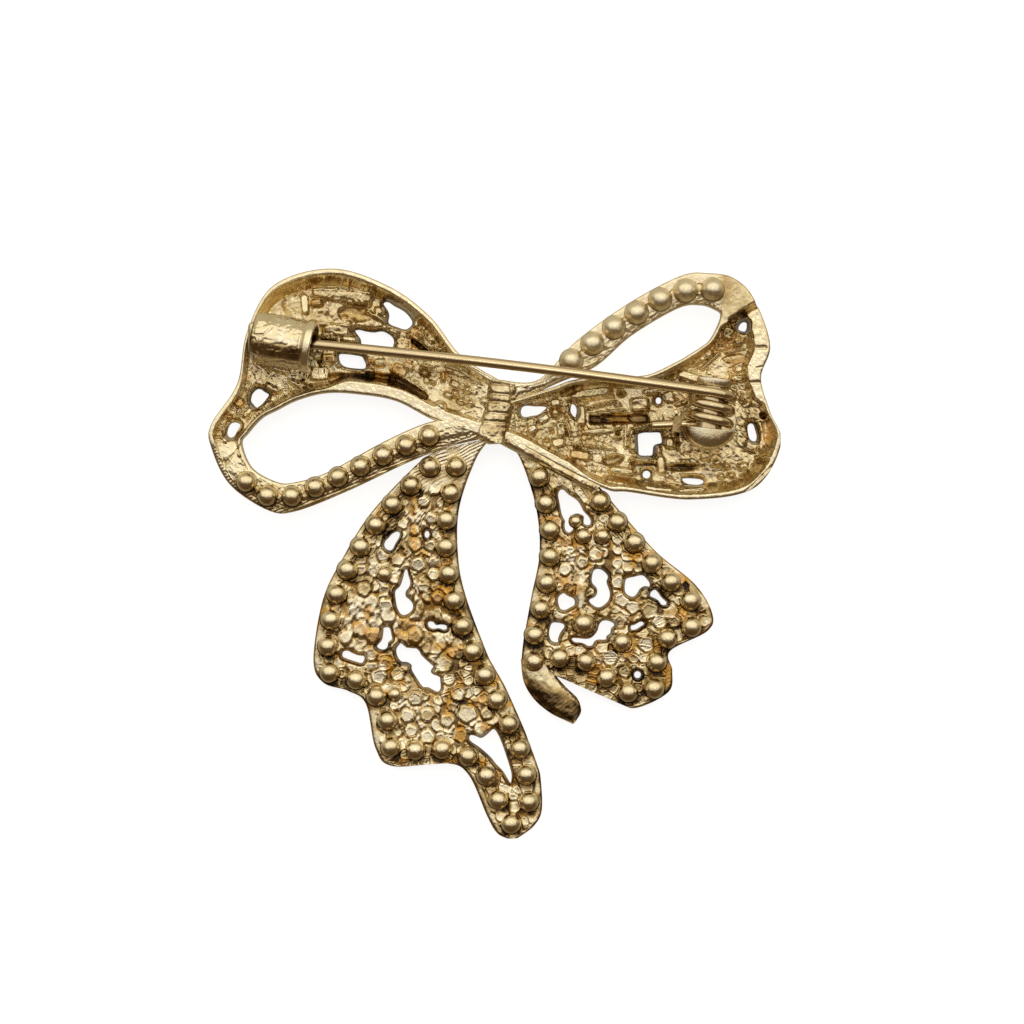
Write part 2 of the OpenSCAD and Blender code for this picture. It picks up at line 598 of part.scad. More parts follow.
module bow_casting() {
    color(gilt) {
        difference() {
            union() {
                loop(LEFT_LOOP);
                loop(RIGHT_LOOP);
                tail(LEFT_TAIL);
                tail(RIGHT_TAIL);
                rolled_tip();
            }
            gaps();
        }
        knot();
        balls();
        pads();
        ridges();
        catch();
        catch_foot();
        at_coil() difference() {
            hinge_seat();
            leg_wire(wire_d + 2 * seat_gap);
        }
    }
}

module hinge_post() {
    half = face_at - seat_gap;
    color(gilt)
        at_coil()
            translate([0, -half, 0]) rotate([-90, 0, 0]) cylinder(r = post_r, h = 2 * half, $fn = POST_SIDES);
}

// Ring of points round the wire at p, clockwise seen along the direction d.
function wire_ring(p, d, r) =
    let (
        side = [d.y, -d.x, 0] / max(norm([d.x, d.y]), TINY),
        up = cross(side, d)
    )
    [for (k = [0 : WIRE_SIDES - 1])
        let (t = 360 * k / WIRE_SIDES) p + r * (cos(t) * side - sin(t) * up)];

// Centre line of the pin in the coil's frame: the point of the stem first, then the stem, then the turns.
function pin_path() =
    let (
        stem = [for (k = [0 : STEM_STEPS])
            let (t = k / STEM_STEPS) [-stem_l * (1 - t), coil_half + 4 * stem_bend * t * (1 - t), coil_r]],
        turns = [for (k = [1 : COIL_TURNS * TURN_STEPS])
            let (t = 360 * k / TURN_STEPS)
            [coil_r * sin(t), coil_half - coil_pitch * k / TURN_STEPS, coil_r * cos(t)]]
    )
    concat(stem, turns);

module pin() {
    path = pin_path();
    last = len(path) - 1;
    color(gilt_wire)
        at_coil()
            skin([for (k = [0 : last])
                let (
                    ahead = path[min(k + 1, last)] - path[max(k - 1, 0)],
                    run = norm(path[k] - path[0]),
                    ground = k > STEM_STEPS ? 1 : max(POINT_TIP, min(1, run / point_l))
                )
                wire_ring(path[k], ahead / norm(ahead), wire_r * ground)]);
}

// The fixed end of the pin wire, which its lug grips while the coil winds.
module pin_foot() {
    color(gilt_wire)
        at_coil()
            leg_wire(wire_d);
}

bow_casting();
hinge_post();
pin();
pin_foot();
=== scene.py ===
"""Bow brooch seen from its back: a pierced, gilt casting that lies on its front, with a sprung wire pin."""
import math

import bpy
import numpy as np
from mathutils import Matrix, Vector


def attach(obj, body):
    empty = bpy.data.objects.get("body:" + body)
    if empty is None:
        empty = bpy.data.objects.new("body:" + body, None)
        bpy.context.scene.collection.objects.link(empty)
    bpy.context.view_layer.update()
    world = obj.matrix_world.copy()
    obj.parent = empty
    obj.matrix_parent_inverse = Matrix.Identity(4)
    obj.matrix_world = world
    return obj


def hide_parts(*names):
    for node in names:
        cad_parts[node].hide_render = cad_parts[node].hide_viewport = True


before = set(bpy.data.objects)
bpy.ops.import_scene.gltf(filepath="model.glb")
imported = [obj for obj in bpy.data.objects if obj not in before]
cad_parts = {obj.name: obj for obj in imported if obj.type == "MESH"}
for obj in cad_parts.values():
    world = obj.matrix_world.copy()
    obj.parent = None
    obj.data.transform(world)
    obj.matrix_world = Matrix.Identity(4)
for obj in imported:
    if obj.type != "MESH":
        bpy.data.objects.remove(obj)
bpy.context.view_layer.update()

MM = 0.001

# Sizes in mm, as in the CAD model.
BOW_W, BOW_H = 54.4, 54.4
LOOP_Z, TAIL_ROOT_Z, TAIL_TIP_Z, KNOT_Z = 3.6, 3.1, 1.5, 4.0
WALL, RIM_T, TAIL_T = 1.2, 1.6, 1.3
OUTER_RIM, INNER_RIM = 0.4, 1.1
BALL_D, BALL_LIFT = 2.15, 0.2
CATCH_D, CATCH_L, CATCH_WALL, CATCH_SLOT, CATCH_TURN, CATCH_TILT = 5.2, 5.9, 0.7, 1.8, -10.0, 5.0
WIRE_R, STEM_Z, STEM_L, STEM_BEND, POINT_L = 0.475, 5.9, 41.2, 0.3, 3.0
COIL_D, COIL_PITCH, COIL_TURNS, COIL_GAP = 4.7, 1.25, 2.25, 0.15
LEG_L, LEG_TURN = 4.6, 9.0
BOSS_D, BOSS_IN, EAR_T, LUG_T = 5.5, 0.75, 0.8, 0.85
CATCH_END_T, TIP_RISE, BAND_RISE, KNOT_LOW = 1.6, 0.48, 0.5, 0.02
# No groove in a loop goes lower than this, so none breaks through the front.
THIN_FLOOR = 0.45
# The ribbons keep this far inside the bow's own width.
EDGE_CLEAR = 0.06
# Gaps below this line are in a tail, and those above it in a loop.
TAILS_BELOW = 6.5
# Line of the fold at the right loop's top right corner: a point on it, and the direction across it. It is
# read past FOLD_CORNER alone.
FOLD = (22.47, 22.23, 0.524, -0.852)
FOLD_CORNER = (21, 20)
# Right edge of the rolled tip: a point on it, and the direction across it.
TIP_EDGE = (5.6, -11.7, 0.697, 0.717)
# The long leaf-shaped pad of the right tail: its middle x, y, half its width and half its length.
LEAF = (8.17, -3.94, 0.56, 1.62)

# Grid of the charts, which is the photograph's own: mm a step, and the column and line of the bow's middle.
CHART_STEP, CHART_X, CHART_Y = 0.095, 494.5, 554.5

COIL_R = COIL_D / 2 - WIRE_R
COIL_Z = STEM_Z - COIL_R
POST_R = COIL_R - WIRE_R - COIL_GAP
COIL_LEN = COIL_TURNS * COIL_PITCH + 2 * WIRE_R
COIL_HALF = COIL_LEN / 2 - WIRE_R
FACE_AT = COIL_LEN / 2 + COIL_GAP
# Places of the coil and the catch, and the turn of the stem, which runs from the coil's near end to the
# catch's middle.
COIL_AT = np.array([37.7 * BOW_W / 100, 25.6 * BOW_H / 100])
CATCH_AT = np.array([-36.6 * BOW_W / 100, 36.9 * BOW_H / 100])
TO_CATCH = CATCH_AT - COIL_AT
STEM_TURN = (math.degrees(math.atan2(TO_CATCH[1], TO_CATCH[0]))
             + math.degrees(math.asin(COIL_HALF / np.linalg.norm(TO_CATCH))) - 180)
COIL_ORIGIN = (COIL_AT[0], COIL_AT[1], COIL_Z)

# Grids: points across a ribbon's front, sides of the balls, the catch and the wire, and the most distances
# that are worked out at once.
FRONT_POINTS, BALL_SIDES, CATCH_SIDES, WIRE_SIDES = 14, 36, 170, 24
AT_ONCE = 4000000
FINE = 1.0

# Ribbons in percent of the bow: edge x, edge y, other edge x, other edge y, and in a loop its share of the
# full hollow.
LEFT_LOOP = [
    (1.7, 30.0, -2.5, 20.7, 0.1), (-5.7, 34.6, -10.6, 23.5, 0.6), (-11.3, 41.6, -17.2, 26.8, 0.9),
    (-18.6, 46.9, -23.8, 28.0, 1), (-28.4, 49.9, -29.4, 28.2, 1), (-38.5, 47.0, -34.3, 27.0, 1),
    (-43.2, 38.8, -38.0, 25.2, 1), (-44.9, 29.8, -40.6, 23.8, 0.9), (-49.4, 22.8, -43.0, 21.2, 0.6),
    (-49.5, 18.9, -44.1, 19.3, 0.2), (-46.3, 12.3, -42.3, 15.1, 0), (-39.5, 7.7, -38.1, 12.7, 0),
    (-34.6, 7.6, -34.9, 12.6, 0), (-25.2, 11.3, -29.1, 14.4, 0), (-15.1, 16.1, -19.3, 19.7, 0),
    (-8.0, 18.8, -12.0, 22.9, 0), (-1.8, 20.3, -6.0, 24.0, 0),
]
RIGHT_LOOP = [
    (1.0, 30.5, 3.1, 26.3, 0), (7.6, 30.5, 10.7, 29.8, 0), (14.2, 37.2, 17.7, 32.9, 0),
    (23.3, 43.8, 24.0, 38.3, 0), (32.4, 48.6, 32.0, 43.0, 0), (37.3, 49.1, 35.9, 43.6, 0),
    (41.8, 48.2, 38.5, 42.8, 0), (45.3, 44.6, 39.5, 41.6, 0.55), (48.1, 36.6, 37.8, 37.8, 0.9),
    (46.5, 30.8, 36.0, 36.2, 1), (48.1, 24.9, 34.1, 35.0, 1), (50.0, 19.3, 31.7, 33.6, 1),
    (45.3, 11.6, 26.4, 31.3, 1), (34.5, 9.6, 20.2, 31.2, 1), (23.6, 10.9, 13.9, 30.5, 0.9),
    (19.5, 11.4, 10.7, 29.4, 0.8), (11.4, 15.4, 7.6, 28.4, 0.6), (4.5, 18.9, 4.1, 27.3, 0.4),
    (-0.8, 20.3, 1.0, 26.3, 0.1),
]
LEFT_TAIL = [
    (-10.2, 18.2, -0.4, 20.5), (-14.0, 15.4, -3.2, 16.8), (-21.7, 7.2, -6.2, 8.1),
    (-26.6, -0.6, -6.4, -0.3), (-30.1, -7.9, -5.1, -7.2), (-31.8, -18.4, -1.5, -17.0),
    (-30.1, -22.5, -0.1, -19.8), (-25.7, -24.0, 1.1, -21.9), (-22.6, -26.3, 2.2, -24.0),
    (-20.9, -34.1, 5.0, -30.3), (-17.9, -37.2, 6.0, -32.9), (-8.5, -36.7, 7.6, -37.3),
    (-4.6, -38.7, 8.1, -39.4), (-1.3, -46.0, 8.3, -44.9), (0.4, -48.9, 6.9, -47.7),
    (2.2, -49.9, 4.1, -49.8),
]
RIGHT_TAIL = [
    (2.0, 20.0, 11.4, 15.4), (4.5, 16.7, 16.7, 13.4), (7.2, 8.5, 22.3, 7.2), (7.9, 0.4, 28.4, 0.4),
    (6.5, -7.2, 35.2, -5.3), (5.5, -12.7, 38.2, -10.4), (5.1, -14.9, 37.3, -13.5),
    (4.8, -17.5, 30.8, -17.0), (4.8, -18.6, 31.2, -20.5), (5.5, -19.5, 30.5, -24.2),
    (8.3, -20.3, 24.7, -27.0), (9.7, -20.6, 21.2, -25.4), (11.8, -20.7, 14.2, -21.2),
]
ROLLED_TIP = [
    (4.6, -18.4, 9.9, -19.5), (5.1, -22.3, 11.1, -21.7), (6.9, -25.4, 12.8, -23.6),
    (9.7, -27.8, 14.6, -25.4), (12.5, -29.2, 15.2, -27.5), (13.7, -29.8, 14.4, -29.1),
]
KNOT = [(-1.0, 30.6, 4.5, 29.4), (-1.7, 25.6, 3.4, 25.6), (-3.2, 21.0, 2.4, 21.4), (-1.1, 19.3, 2.0, 19.5)]
KNOT_BAND = [(2.4, 22.1, 1.0, 19.3), (11.4, 16.1, 9.7, 14.7), (19.1, 12.3, 17.0, 10.9)]

# Rows of balls: number, 0 on a loop or 1 on a tail, share of the balls' diameter, and path in percent of the
# bow.
BALL_ROWS = [
    (9, 0, 0.98, [(-43.2, 12.7), (-39.4, 10.2), (-35.3, 10.2), (-27.5, 13.4), (-19.6, 17.2),
                  (-11.4, 20.7)]),
    (7, 0, 1.1, [(13.4, 33.8), (20.7, 39.5), (28.7, 44.4), (33.2, 46.0), (38.0, 46.2)]),
    (10, 1, 1.0, [(-11.3, 15.3), (-18.1, 8.5), (-23.6, 1.1), (-27.7, -7.1), (-29.2, -15.8),
                  (-28.9, -20.7)]),
    (4, 1, 1.0, [(-24.3, -21.9), (-20.7, -24.9), (-18.9, -28.7), (-18.2, -33.8)]),
    (6, 1, 1.0, [(-13.9, -34.3), (-9.3, -34.1), (-4.8, -35.3), (-1.5, -38.7), (0.6, -43.0), (2.9, -47.2)]),
    (14, 1, 1.0, [(-6.7, 15.4), (-8.5, 5.3), (-7.9, -4.6), (-5.0, -14.2), (-1.3, -22.1), (4.6, -34.6),
                  (6.0, -43.4)]),
    (8, 1, 1.0, [(7.8, 13.5), (9.7, 4.6), (9.2, -4.6), (7.1, -13.7), (6.9, -18.8)]),
    (5, 1, 1.0, [(11.4, -18.1), (16.1, -18.8), (19.8, -21.7), (23.5, -24.2), (28.0, -23.5)]),
    (3, 1, 1.0, [(28.4, -18.9), (30.1, -14.9), (34.5, -12.7)]),
    (6, 1, 1.0, [(34.3, -8.1), (27.7, -1.7), (24.7, 1.8), (18.4, 9.3)]),
]
# Single balls: x, y, 0 on a loop or 1 on a tail, share of the balls' diameter.
SINGLE_BALLS = [
    (15.6, -12.1, 1, 1.1), (22.3, -15.4, 1, 0.95), (14.2, 5.8, 1, 0.65), (15.5, 3.2, 1, 0.8),
    (18.9, 3.2, 1, 0.8), (-17.5, -24.5, 1, 0.7), (-19.3, -3.4, 1, 0.8),
]
# Pads of the tails: x, y, width across in percent of the bow.
PADS = [
    (-12.5, 9.2, 2.2), (-14.0, 4.1, 1.9), (-11.1, 6.2, 2.2), (-16.1, 5.3, 2.1), (-11.3, 1.5, 2.3),
    (-13.9, 1.6, 2.4), (-19.5, -0.1, 2.6), (-17.0, -1.0, 2.4), (-13.4, -1.8, 2.6), (-10.7, -3.6, 2.3),
    (-10.0, -7.6, 2.2), (-22.9, -6.2, 2.6), (-19.1, -9.0, 2.7), (-18.6, -10.9, 2.8), (-14.0, -10.4, 2.6),
    (-23.5, -13.2, 2.9), (-21.2, -14.4, 2.9), (-26.1, -14.6, 2.5), (-21.6, -17.5, 2.7),
    (-17.7, -15.8, 2.1), (-19.1, -19.3, 2.6), (-17.0, -21.0, 2.6), (-20.3, -21.4, 2.8),
    (-15.6, -19.6, 1.9), (-10.7, -20.2, 1.9), (-8.8, -19.3, 2.9), (-13.9, -14.4, 2.7), (-8.1, -21.9, 2.3),
    (-13.9, -25.4, 2.6), (-6.5, -24.5, 2.7), (-8.3, -29.2, 2.6), (-15.3, -28.4, 2.6), (-14.7, -31.0, 2.4),
    (-11.8, -32.0, 2.6), (-6.0, -31.8, 2.6), (-2.4, -30.8, 2.4), (-15.0, -7.0, 2.0), (-11.8, -28.2, 2.6),
    (-4.8, -28.0, 3.4), (-1.4, -28.0, 2.2), (21.6, -5.0, 2.5), (22.3, -8.0, 2.7), (24.2, -9.3, 2.5),
    (27.1, -9.9, 3.0), (30.8, -10.0, 2.9), (26.4, -6.9, 1.9), (28.9, -11.8, 2.6), (31.5, -11.8, 2.1),
    (19.3, -10.0, 2.1), (11.4, -10.4, 2.6), (12.1, -14.2, 2.1), (21.9, -11.8, 2.5), (25.9, -13.7, 2.4),
    (26.6, -15.8, 2.9), (18.8, -16.1, 2.7), (20.3, -18.1, 2.9), (12.3, -2.7, 2.4), (15.4, -1.5, 2.3),
    (17.7, -0.1, 2.6), (22.8, -20.6, 2.2),
]
# Outlines of the gaps, charted on the grid of CHART_STEP, as corners of a smooth closed curve.
# A row of four numbers is an oval: column, line, width, height.
GAPS = [
    # left loop
    [(383.5, 302.5), (387.5, 302.5), (393, 306), (402, 311), (407.5, 316), (411, 321), (410, 324.5),
     (406, 327.5), (402, 327.5), (396, 325.5), (390.5, 323.5), (387.5, 320.5), (388.5, 314.5),
     (387.5, 309.5), (385, 305.5)],
    [(354, 329.5), (358.5, 328.5), (364.5, 330), (373, 331), (379.5, 330), (384.5, 331), (390.5, 335),
     (393, 339.5), (392, 345), (389, 350), (381.5, 351), (373, 350), (365.5, 347), (360.5, 343),
     (359.5, 338), (357, 334)],
    [(338, 353.5), (344.5, 353), (353, 354), (360.5, 355.5), (363, 359.5), (364.5, 363.5), (364, 366.5),
     (361, 367.5), (353, 367), (346, 366), (341.5, 364), (338.5, 360)],
    [(250.5, 393), (255, 388.5), (259, 388.5), (262.5, 391), (266.5, 393.5), (265.5, 396.5), (261, 402),
     (257, 405.5), (254.5, 406.5), (251, 403), (249, 399.5)],
    [(228, 425), (230.5, 422.5), (234.5, 422), (238, 423.5), (239, 425.5), (235.5, 431.5), (233, 435.5),
     (230.5, 437), (228, 436.5), (226, 433.5), (226.5, 429)],
    # right loop
    [(522.5, 407), (527.5, 405.5), (535, 406), (542.5, 406), (546.5, 407), (545, 409), (541, 412.5),
     (537, 414.5), (531, 415.5), (526, 416.5), (522.5, 415.5), (521, 412)],
    [(572, 404), (574, 404), (576, 406), (577, 409.5), (576.5, 413.5), (575.5, 416.5), (573, 414.5),
     (571, 410.5)],
    [(639, 435), (641.5, 433), (646, 432), (651.5, 432), (660.5, 432), (662, 435), (663, 440),
     (662, 442.5), (657.5, 443.5), (654.5, 446), (654, 450.5), (653, 454.5), (649, 455), (643, 455),
     (640, 453.5), (639.5, 447)],
    [(740.5, 328), (741.5, 324), (744.5, 321.5), (747.5, 322), (748, 325), (747.5, 328.5), (745.5, 330)],
    [(749.5, 426), (752, 423), (755, 424), (756.5, 428.5), (758, 435), (757.5, 439.5), (755.5, 440.5),
     (752.5, 439), (750.5, 435)],
    [(684, 479), (690, 478.5), (700, 479.5), (703.5, 481.5), (698, 483), (688, 482)],
    (659.5, 400, 5, 6), (647.5, 474, 7, 6.5),
    # left tail
    [(394.5, 532.5), (396.5, 532), (399, 533.5), (398, 538), (395, 543), (393, 547), (391.5, 549.5),
     (388.5, 550.5), (385, 548.5), (383.5, 545), (385, 541), (388, 538), (391, 534.5)],
    (426.5, 534.5, 4.6, 6.5),
    [(406, 570), (407.5, 576), (409.5, 583), (408, 588), (405, 592), (405, 597), (409, 600.5), (412, 605),
     (411.5, 610.5), (406, 615), (400.5, 615), (396.5, 608.5), (395, 600.5), (394.5, 592), (399.5, 586.5),
     (402.5, 578), (404, 572)],
    [(383, 629), (388.5, 629), (390.5, 636.5), (391, 640), (387.5, 643), (386, 648.5), (382, 650.5),
     (377.5, 649), (376.5, 646.5), (381, 641), (382.5, 633)],
    [(342, 653), (346.5, 652), (351.5, 654.5), (357, 656.5), (362.5, 657.5), (363, 660.5), (360.5, 664),
     (354, 662.5), (346.5, 660), (341.5, 657.5)],
    [(428, 623), (432.5, 623), (435.5, 626), (440.5, 625.5), (445.5, 626.5), (446, 629.5), (443, 630.5),
     (438.5, 629), (432, 629.5), (428, 627)],
    [(400.5, 644.5), (406, 649), (416.5, 650), (421, 657), (431, 666), (432.5, 668), (430, 672),
     (432, 675.5), (438.5, 678), (439.5, 681), (440, 689.5), (437.5, 693), (434, 692), (427.5, 688.5),
     (422, 688), (416.5, 680), (411, 671), (411, 666), (406, 663), (400.5, 662.5), (396.5, 657),
     (395.5, 650.5), (398, 646.5)],
    [(494, 731), (498.5, 737.5), (503, 748.5), (507, 760.5), (511, 773.5), (511.5, 780), (510.5, 785),
     (507.5, 780.5), (502.5, 772.5), (496, 766), (490.5, 759), (480.5, 750), (471, 743.5), (469, 740),
     (470.5, 737), (475.5, 738), (480.5, 740), (485.5, 737.5), (490, 733.5)],
    # right tail
    [(560.5, 490), (564, 490), (568.5, 494.5), (576.5, 499.5), (580.5, 504.5), (584, 511.5), (588.5, 516),
     (591, 520.5), (590.5, 524.5), (587, 525), (584, 523), (584.5, 516.5), (580.5, 514), (575.5, 513.5),
     (570.5, 518.5), (569.5, 522), (573.5, 528), (571.5, 531.5), (568.5, 532.5), (565.5, 529.5),
     (565, 524), (565.5, 521), (562.5, 515.5), (561, 509), (559.5, 500.5), (558.5, 494.5)],
    [(594.5, 571), (599, 569.5), (604, 571.5), (608.5, 577), (607, 582.5), (610.5, 593), (609.5, 600),
     (606.5, 604), (601.5, 607.5), (596.5, 607.5), (591.5, 604), (590, 600.5), (595.5, 597.5), (598, 593),
     (597, 588), (593, 583.5), (592.5, 578)],
    [(626.5, 580.5), (629.5, 578.5), (634.5, 577.5), (640.5, 576), (644.5, 576.5), (648.5, 580.5),
     (650.5, 584), (650, 587), (645.5, 586.5), (641, 589), (638.5, 593), (635.5, 596.5), (632, 597),
     (627, 594), (625.5, 589)],
    [(652, 593), (655.5, 590.5), (658.5, 592.5), (662, 597.5), (665, 600.5), (667.5, 603), (666.5, 605.5),
     (662.5, 605), (659.5, 601), (655.5, 598.5), (651.5, 596.5)],
    [(560, 596.5), (564, 594), (568, 596.5), (574, 599.5), (575, 605), (570.5, 608), (565.5, 610.5),
     (561, 609.5), (559, 605), (558.5, 600)],
    [(552, 624.5), (557.5, 623.5), (563.5, 625), (564.5, 628), (561, 633), (558.5, 639), (558, 643),
     (553.5, 642.5), (550.5, 639.5), (549.5, 633)],
    [(603, 622), (608, 621.5), (614, 624), (614.5, 626.5), (611.5, 629.5), (611, 634), (607, 637),
     (606.5, 640.5), (598, 640.5), (594.5, 643), (593, 646), (589, 647), (585.5, 645), (581.5, 643.5),
     (575.5, 643), (572.5, 640.5), (574, 639), (580.5, 639.5), (587.5, 640), (593, 638), (598, 632),
     (600, 625.5)],
    [(632, 627), (636, 625.5), (640.5, 623), (643.5, 623), (644.5, 625), (641, 627.5), (637, 630),
     (632.5, 630.5)],
    (638.5, 676, 6.6, 6.6),
]

# Relief of the loops, charted on the same grid.
# Each row: column, line, length, width in steps, turn in degrees, rise in mm, corner (2 round, 4 square).
RELIEF = [
    # left loop, outer half: cavity, pads and cells round the gaps
    (354, 313, 36, 18, -4, -0.45, 2), (378.5, 310.5, 10, 10, 0, 1.3, 4), (316, 302, 14, 10, 0, 0.8, 4),
    (304, 303, 8, 22, 5, 0.9, 4), (336, 329, 32, 11, -2, 1.05, 4), (349, 338.5, 22, 8, -5, 0.95, 4),
    (420, 307, 9, 8, -20, 2.3, 4), (415, 323, 8, 9, 0, 0.9, 4), (408, 331, 5, 4, 0, 1.2, 4),
    (408, 336, 5, 4, 0, 1.2, 4), (435, 335, 18, 13, 25, 0.75, 4), (446, 343, 12, 8, -35, -0.4, 2),
    (415, 349, 15, 6, -20, 0.6, 4), (401, 340, 18, 18, 0, -0.3, 2), (296, 318, 16, 14, 0, 0.35, 2),
    (288, 300, 18, 12, 30, 0.3, 2), (440, 349, 10, 6, -10, 0.8, 4),
    # left loop, inner half
    (328, 358, 18, 11, 0, 0.7, 4), (319, 361, 6, 6, 0, -0.5, 2), (368, 361, 8, 6, 0, 0.8, 4),
    (379, 362, 15, 9, 0, 0.85, 4), (319, 373, 22, 15, 0, 0.7, 4), (399, 370, 18, 14, -25, 0.6, 4),
    (408, 366, 14, 9, -20, 0.95, 4), (424.5, 372.5, 13, 9, -20, -0.9, 2), (432, 382, 10, 5, -10, 1.0, 4),
    (457, 371, 30, 11, -20, 0.5, 4), (440, 407, 13, 13, 0, 1.6, 2), (467, 390, 9, 9, 0, 1.1, 2),
    (461, 401, 9, 9, 0, 1.2, 2), (471, 403, 8, 8, 0, 1.2, 2), (484, 401, 9, 9, 0, 0.8, 2),
    (455, 393, 8, 8, 0, 1.1, 2), (455, 384, 12, 8, -30, 0.9, 4), (448, 395, 12, 7, -30, 0.8, 4),
    (300, 385, 30, 9, -24, 0.8, 2), (272, 388, 22, 7, -30, 0.9, 4),
    # left loop, the narrow channel
    (243.5, 388.5, 6, 4, -30, 1.2, 4), (237.5, 395.5, 8, 4, -30, 1.2, 4), (226, 405, 13, 6, 30, 1.0, 4),
    (219, 420, 11, 7, 40, 0.9, 4), (239, 403, 8, 12, -40, 0.8, 4), (247, 412, 18, 7, 45, 0.7, 4),
    (229, 417, 6, 8, -40, 0.7, 4), (222, 411, 11, 6, 40, -0.6, 2), (226, 437, 16, 7, 75, 0.9, 4),
    (245, 448, 26, 9, 62, 1.3, 4),
    # right loop, beside the knot: pads, a half dome, ribs
    (575, 387, 18, 9, 8, -0.5, 2), (555.5, 402.5, 12, 9.5, 6, 1.2, 4), (556, 412.5, 13, 13, 0, 1.15, 2),
    (543.5, 418.5, 14, 9.5, 32, 1.15, 4), (561.5, 429, 9, 16, 10, 1.0, 4),
    (558.5, 442.5, 15, 11, 10, 1.0, 4), (532.5, 429, 11, 9, 20, 0.95, 4), (561, 426, 3, 3, 0, -0.4, 2),
    (567, 434, 4, 5, 0, -0.6, 2), (552, 431, 6, 6, 0, -0.5, 2), (547, 440, 6, 6, 0, -0.5, 2),
    (581, 415, 9, 22, 3, 1.1, 4), (590, 393, 52, 11, 8, 1.2, 4), (580, 455, 25, 11, -10, 0.75, 4),
    (578, 447.5, 8, 4, -5, -0.5, 2), (572, 463, 26, 9, -35, 0.7, 4),
    # right loop, middle: recesses, the frame of the square gap
    (640, 404, 20, 15, 4, 0.85, 4), (622, 393, 10, 8, 0, -0.6, 2), (618.5, 426.5, 10, 8, 20, 1.3, 4),
    (618, 432.5, 5, 4, 0, -0.7, 2), (618, 437, 10, 5, 10, 1.0, 4), (640, 418, 22, 11, -6, -0.6, 2),
    (633.5, 443, 8, 20, 0, 1.25, 4), (670.5, 443, 11, 12, 0, 1.15, 4), (658, 450, 8, 9, 0, 1.1, 4),
    (642, 459.5, 29, 6.5, -2, 1.45, 4), (632, 466, 8, 5, 0, 0.8, 4), (661.5, 465, 9, 20, 5, 1.15, 4),
    (684, 467, 36, 9, 4, -0.7, 2), (613, 460, 24, 11, 12, -0.8, 2), (622, 471, 34, 9, -8, 1.0, 4),
    (620, 480, 40, 9, -8, 0.8, 4), (652, 391, 22, 8, 8, 0.7, 4), (669, 396, 12, 12, 30, 0.8, 4),
    (600, 431, 44, 8, 3, 0.5, 4),
    # right loop, under the stem and along the right rim
    (690, 376, 40, 10, -18, 1.2, 4), (706, 383, 60, 8, -6, 1.0, 4), (664, 378, 30, 9, 16, 1.3, 4),
    (700, 357, 34, 12, 28, 1.0, 4), (728.5, 333, 12, 13, -20, 1.3, 4), (739, 343.5, 10, 8, 15, 1.2, 4),
    (722, 327, 11, 8, 40, 1.0, 4), (736, 358, 26, 11, 5, 0.3, 2), (740.5, 367, 14, 11, 20, 1.25, 4),
    (738, 378, 18, 8, 0, 1.1, 4), (755, 342, 15, 9, -10, 1.7, 4), (743.5, 400, 7, 7, 0, 1.5, 2),
    (757, 401, 14, 11, -20, 1.5, 4), (764.5, 415, 7, 8, -30, -0.7, 2), (755, 374, 12, 9, 10, 1.1, 4),
    (755, 394, 13, 9, 10, 1.2, 4), (763, 461.5, 16, 6, 0, -0.9, 2), (752, 446, 14, 12, -20, 0.8, 4),
    (718, 463, 9, 8, 20, 1.2, 4), (727, 466, 8, 8, -10, 1.3, 4), (732, 475, 9, 7, 10, 1.2, 4),
    (722, 476, 8, 7, 0, 1.1, 4), (744, 466, 12, 9, 20, 1.0, 4), (706, 456, 12, 9, 10, 0.8, 4),
    (660, 486, 40, 9, -6, 1.2, 4), (690, 488, 40, 7, 4, 1.2, 4), (736, 482, 20, 8, 18, -0.6, 2),
]
